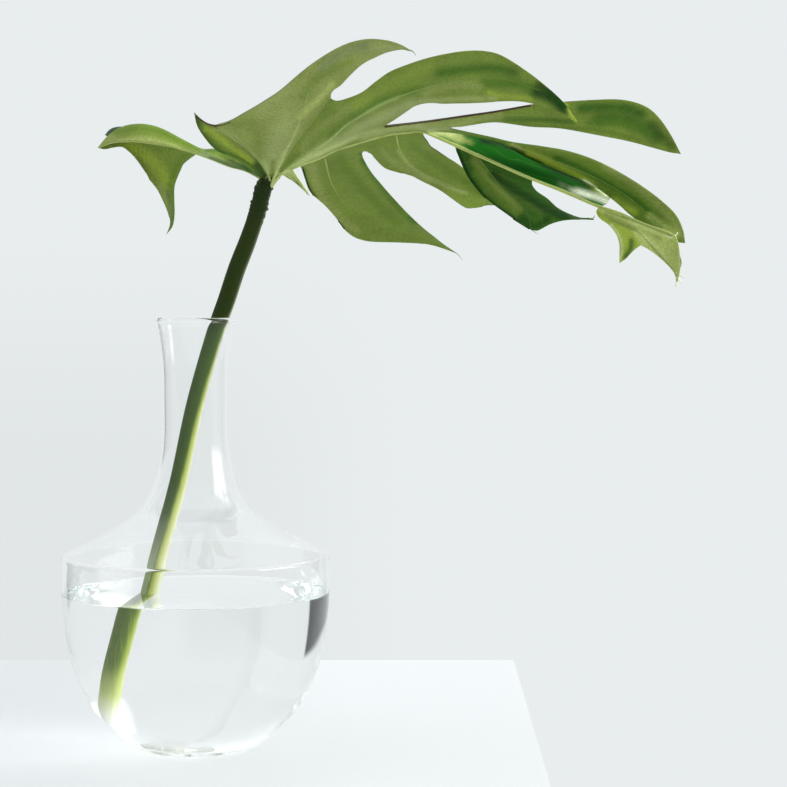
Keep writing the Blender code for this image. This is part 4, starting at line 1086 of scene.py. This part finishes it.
# painted light: towards its cut end the stalk pales and then turns white, a painted glow
PALE_END = (0.036, 0.056)
PAINTED_GLOW_END = (0.020, 0.042)
DRY_BAND = (7.8, -1.081)
WET_BAND = (16.0, -0.802)
PAINTED_LIGHT_BAND = (0.50, 0.53, 0.34, 1)


class Wires:
    """Short ways to add nodes to a new material, or to the tree that is given."""

    def __init__(self, target):
        if isinstance(target, str):
            self.material = bpy.data.materials.new(target)
            self.material.use_nodes = True
            target = self.material.node_tree
        self.nodes = target.nodes
        self.links = target.links
        self.shader = self.nodes.get("Principled BSDF")

    def node(self, kind, **values):
        node = self.nodes.new(kind)
        for key, value in values.items():
            setattr(node, key, value)
        return node

    def feed(self, node, index, value):
        if hasattr(value, "is_output"):
            self.links.new(value, node.inputs[index])
        elif value is not None:
            node.inputs[index].default_value = value

    def math(self, operation, a, b=None, c=None):
        node = self.node("ShaderNodeMath", operation=operation)
        for index, value in enumerate((a, b, c)):
            self.feed(node, index, value)
        return node.outputs[0]

    def smooth(self, value, low, high, out_low=0.0, out_high=1.0):
        node = self.node("ShaderNodeMapRange", interpolation_type="SMOOTHSTEP")
        for index, entry in enumerate((value, low, high, out_low, out_high)):
            self.feed(node, index, entry)
        return node.outputs[0]

    def times(self, a, b):
        return self.math("MULTIPLY", a, b)

    def plus(self, a, b):
        return self.math("ADD", a, b)

    def minus(self, a, b):
        return self.math("SUBTRACT", a, b)

    def mix(self, share, a, b):
        node = self.node("ShaderNodeMix", data_type="RGBA")
        for index, value in ((0, share), (6, a), (7, b)):
            self.feed(node, index, value)
        return node.outputs[2]

    def ramp(self, value, stops):
        """The colour that runs through these stops of (value, colour)."""
        colour = stops[0][1]
        for (low, _), (high, entry) in zip(stops, stops[1:]):
            colour = self.mix(self.smooth(value, low, high), colour, entry)
        return colour

    def noise(self, scale, detail=3.0, vector=None):
        node = self.node("ShaderNodeTexNoise")
        node.inputs["Scale"].default_value = scale
        node.inputs["Detail"].default_value = detail
        if vector is not None:
            self.links.new(vector, node.inputs["Vector"])
        return node.outputs["Fac"]

    def place(self):
        return self.node("ShaderNodeTexCoord").outputs["Object"]

    def tint(self, attribute):
        return self.node("ShaderNodeAttribute", attribute_name=attribute).outputs["Color"]

    def split(self, vector):
        node = self.node("ShaderNodeSeparateXYZ")
        self.links.new(vector, node.inputs[0])
        return node.outputs

    def bump(self, height, strength, distance):
        node = self.node("ShaderNodeBump")
        node.inputs["Strength"].default_value = strength
        node.inputs["Distance"].default_value = distance
        self.links.new(height, node.inputs["Height"])
        self.links.new(node.outputs["Normal"], self.shader.inputs["Normal"])

    def set(self, **values):
        for name, value in values.items():
            self.feed(self.shader, name.replace("_", " "), value)


def blade_material(name, attribute, roughness, gloss, light):
    """One side of the blade: its painted green, mottled, with side veins and a fine net between them."""
    w = Wires(name)
    across, down, _ = w.split(w.node("ShaderNodeUVMap", uv_map="lobe").outputs["UV"])
    share = w.math("ABSOLUTE", w.math("MULTIPLY_ADD", across, 2.0, -1.0))
    place = w.place()
    wobble = w.times(w.minus(w.noise(60, 2, place), 0.5), 0.35)
    phase = w.plus(w.minus(w.times(down, 1 / RUN_SCALE / VEIN_SPACING), w.times(share, VEIN_SLANT)), wobble)
    vein = w.smooth(w.math("PINGPONG", phase, 0.5), 0.0, VEIN_LINE, 1.0, 0.0)
    fine = w.smooth(w.math("PINGPONG", w.times(phase, 3.0), 0.5), 0.0, NET_LINE, 1.0, 0.0)
    net = w.node("ShaderNodeTexVoronoi", feature="DISTANCE_TO_EDGE")
    net.inputs["Scale"].default_value = NET_SCALE
    w.links.new(place, net.inputs["Vector"])
    cells = w.smooth(net.outputs["Distance"], 0.0, NET_LINE, 1.0, 0.0)
    mottle = w.noise(90, 5, place)
    broad = w.noise(24, 2, place)
    shade = w.plus(w.times(w.minus(mottle, 0.5), 0.45), w.times(w.minus(broad, 0.5), 0.45))
    scaled = w.node("ShaderNodeVectorMath", operation="SCALE")
    w.links.new(w.tint(attribute), scaled.inputs[0])
    w.links.new(w.plus(shade, 1.0), scaled.inputs["Scale"])
    colour = w.mix(w.times(cells, 0.22), scaled.outputs[0], NET_GREEN)
    colour = w.mix(w.times(fine, 0.2), colour, FINE_GREEN)
    colour = w.mix(w.times(vein, light), colour, SIDE_GREEN)
    w.set(Base_Color=colour, Roughness=w.smooth(mottle, 0.2, 0.8, roughness * 0.85, roughness * 1.15),
          Specular_IOR_Level=gloss)
    relief = w.plus(w.plus(w.times(vein, 0.5), w.times(cells, 0.25)), w.times(fine, 0.2))
    w.bump(relief, 0.35, 0.0002)
    return w.material


def rim_material():
    w = Wires("Leaf_margin")
    mottle = w.times(w.noise(300, 2, w.place()), 0.3)
    w.set(Base_Color=w.mix(mottle, w.tint("rim"), (0.12, 0.14, 0.04, 1)), Roughness=0.5)
    return w.material


def ridge_material():
    w = Wires("Leaf_ridges")
    mottle = w.noise(220, 4, w.place())
    colour = w.mix(w.smooth(mottle, 0.35, 0.8, 0.0, 0.35), w.tint("tint"), (0.10, 0.15, 0.03, 1))
    w.set(Base_Color=colour, Roughness=0.6, Specular_IOR_Level=0.12)
    w.bump(mottle, 0.2, 0.0001)
    return w.material


def petiole_material():
    """Dark green on the left and the knee, a pale yellow-green band down the right, streaks and specks.

    The pale band and rim down the right are painted light from the window on that side, and the pale and
    white at the cut end are a painted glow.
    """
    w = Wires("Petiole_green")
    place = w.place()
    height = w.split(place)[2]
    turn = w.split(w.node("ShaderNodeUVMap", uv_map="turn").outputs["UV"])[0]
    # right: how far each side faces the window on the right. The pale band and rim that follow it are painted
    # light, and the knee's dark fades on that side
    right = w.math("COSINE", w.times(turn, 2 * math.pi))
    stretch = w.node("ShaderNodeMapping")
    stretch.inputs["Scale"].default_value = (1, 1, 0.06)
    w.links.new(place, stretch.inputs[0])
    streaks = w.noise(900, 3, stretch.outputs[0])
    specks = w.noise(1500, 2, place)
    above = w.smooth(height, *OVER_NECK)
    wet = w.smooth(height, *AT_WATER, 1.0, 0.0)
    knee = w.smooth(height, *ON_KNEE)
    edge = w.plus(right, w.times(w.minus(streaks, 0.5), 0.3))
    dark = w.mix(w.smooth(height, *LOW_STALK, 0.95, 0.0), (0.045, 0.085, 0.014, 1), (0.27, 0.33, 0.17, 1))
    dark = w.mix(above, dark, (0.021, 0.038, 0.005, 1))
    olive = w.mix(above, (0.12, 0.17, 0.03, 1), (0.03, 0.05, 0.008, 1))
    dry = w.ramp(w.minus(edge, w.math("MULTIPLY_ADD", height, *DRY_BAND)), [
        (-0.2, dark), (0.0, olive), (0.2, (0.28, 0.34, 0.07, 1)), (0.42, (0.36, 0.41, 0.11, 1)),
        (0.65, (0.42, 0.45, 0.18, 1)), (1.0, PAINTED_LIGHT_BAND)])
    under_water = w.ramp(w.minus(edge, w.math("MULTIPLY_ADD", height, *WET_BAND)), [
        (-0.5, (0.075, 0.125, 0.016, 1)), (-0.1, (0.11, 0.18, 0.016, 1)), (0.15, (0.19, 0.27, 0.025, 1)),
        (0.4, (0.30, 0.37, 0.06, 1)), (0.7, (0.43, 0.48, 0.17, 1)), (1.0, (0.55, 0.59, 0.34, 1))])
    under_water = w.mix(w.smooth(streaks, 0.45, 0.7, 0.0, 0.2), under_water, (0.40, 0.46, 0.08, 1))
    colour = w.mix(wet, dry, under_water)
    # painted light: a pale rim down the side that faces the window, stronger below the neck
    rim = w.times(w.smooth(right, 0.55, 1.0), w.minus(0.8, w.times(above, 0.55)))
    colour = w.mix(rim, colour, PAINTED_LIGHT_BAND)
    colour = w.mix(w.smooth(specks, 0.62, 0.75, 0.0, 0.2), colour, (0.20, 0.30, 0.08, 1))
    colour = w.mix(w.smooth(height, *PALE_END, 0.85, 0.0), colour, (0.50, 0.58, 0.18, 1))
    colour = w.mix(w.smooth(height, *PAINTED_GLOW_END, 0.97, 0.0), colour, (0.95, 0.96, 0.92, 1))
    knee = w.times(knee, w.smooth(right, 0.6, 0.95, 0.9, 0.2))
    colour = w.mix(knee, colour, (0.016, 0.032, 0.006, 1))
    w.set(Base_Color=colour, Roughness=w.smooth(streaks, 0.2, 0.8, 0.35, 0.55), Specular_IOR_Level=0.1)
    w.bump(streaks, 0.3, 0.0002)
    return w.material


def clear_material(name, tint, ior):
    """Clear glass or water, which casts no shadow."""
    w = Wires(name)
    w.set(Base_Color=tint, Roughness=0.0, IOR=ior, Transmission_Weight=1.0)
    either = w.node("ShaderNodeMixShader")
    w.links.new(w.node("ShaderNodeLightPath").outputs["Is Shadow Ray"], either.inputs[0])
    w.links.new(w.shader.outputs[0], either.inputs[1])
    w.links.new(w.node("ShaderNodeBsdfTransparent").outputs[0], either.inputs[2])
    w.links.new(either.outputs[0], w.nodes["Material Output"].inputs["Surface"])
    return w.material


blade_under = blade_material("Leaf_under", "under", 0.6, 0.12, 0.10)
blade_upper = blade_material("Leaf_upper", "upper", 0.35, 0.03, 0.08)
glass = clear_material("Clear_glass", (0.995, 0.997, 0.996, 1), GLASS_IOR)
water = clear_material("Clear_water", (0.99, 0.998, 0.995, 1), WATER_IOR)

blade, paths = make_blade((blade_upper, blade_under, rim_material()))
ridges = ridge_material()
for piece, lines in paths.items():
    make_ridges(piece, lines, ridges)
petiole = make_petiole(petiole_material())
carafe = make_vase(glass)
filling = make_water(water)
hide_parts("leaf_blade")
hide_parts("petiole")
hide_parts("vase")
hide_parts("water")
for piece, slot in ((blade, "leaf"), (petiole, "petiole"), (carafe, "clear_glass"), (filling, "water")):
    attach(piece, "root")

# Stage: the table top's lowest and highest corner, and where from left to right it gets paler, painted light
# that is brighter towards the window on the right
FLOOR_LOW = Vector((-1.2, -1.2, -0.04))
FLOOR_HIGH = Vector((0.19, 0.315, 0.0))
PAINTED_LIGHT_ACROSS = (-0.14, 0.10)


def make_floor():
    """A table top, a little paler towards the right, where painted light brightens it near the window."""
    w = Wires("Pale_floor")
    painted_light_share = w.smooth(w.split(w.place())[0], *PAINTED_LIGHT_ACROSS)
    w.set(Base_Color=w.mix(painted_light_share, (0.645, 0.662, 0.668, 1), (0.775, 0.79, 0.797, 1)), Roughness=0.5)
    bm = bmesh.new()
    middle = (FLOOR_LOW + FLOOR_HIGH) / 2
    bmesh.ops.create_cube(bm, size=1, matrix=Matrix.LocRotScale(middle, None, FLOOR_HIGH - FLOOR_LOW))
    return new_object("floor_stage", bm, w.material)


floor = make_floor()

# The studio's soft light, by direction: bright all round, dimmer behind the camera, a window on the right
# and a dark doorway on the left. Each patch: its middle as azimuth from +Y towards +X and height, its half
# sizes, how far its edges fade, all in degrees, and its light.
SKY = (0.811, 0.847, 0.857)
PATCHES = [
    (180, 20, 95, 70, 50, (0.62, 0.64, 0.65)),
    (0, 90, 180, 40, 30, (1.10, 1.14, 1.15)),
    (98, 22, 15, 12, 9, (7.0, 7.1, 7.1)),
    (-64, -4.8, 23.5, 6.6, 2, (0.01, 0.011, 0.012)),
    (-11, -8, 6, 3, 6, (0.755, 0.79, 0.80)),
]


def light_studio():
    world = bpy.data.worlds.new("Studio")
    bpy.context.scene.world = world
    world.use_nodes = True
    w = Wires(world.node_tree)
    right, ahead, up = w.split(w.node("ShaderNodeTexCoord").outputs["Generated"])
    azimuth = w.math("ARCTAN2", right, ahead)
    height = w.math("ARCSINE", up)
    colour = None
    for middle, level, wide, tall, fade, light in PATCHES:
        turn = w.minus(azimuth, math.radians(middle))
        turn = w.math("ABSOLUTE", w.math("WRAP", turn, -math.pi, math.pi))
        rise = w.math("ABSOLUTE", w.minus(height, math.radians(level)))
        inside = w.times(w.smooth(turn, math.radians(wide), math.radians(wide + fade), 1.0, 0.0),
                         w.smooth(rise, math.radians(tall), math.radians(tall + fade), 1.0, 0.0))
        colour = w.mix(inside, colour or (*SKY, 1), (*light, 1))
    w.links.new(colour, w.nodes["Background"].inputs["Color"])


light_studio()

camera_data = bpy.data.cameras.new("Camera")
camera_data.sensor_width = SENSOR_WIDTH
camera_data.lens = FOCAL / VIEW_WIDTH * SENSOR_WIDTH
camera = bpy.data.objects.new("Camera", camera_data)
bpy.context.scene.collection.objects.link(camera)
camera.location = EYE
camera.rotation_euler = (math.pi / 2 - PITCH, 0, 0)
bpy.context.scene.camera = camera

bpy.context.scene.view_settings.view_transform = "Standard"
for limit in ("max_bounces", "transmission_bounces", "glossy_bounces", "transparent_max_bounces"):
    setattr(bpy.context.scene.cycles, limit, GLASS_BOUNCES)
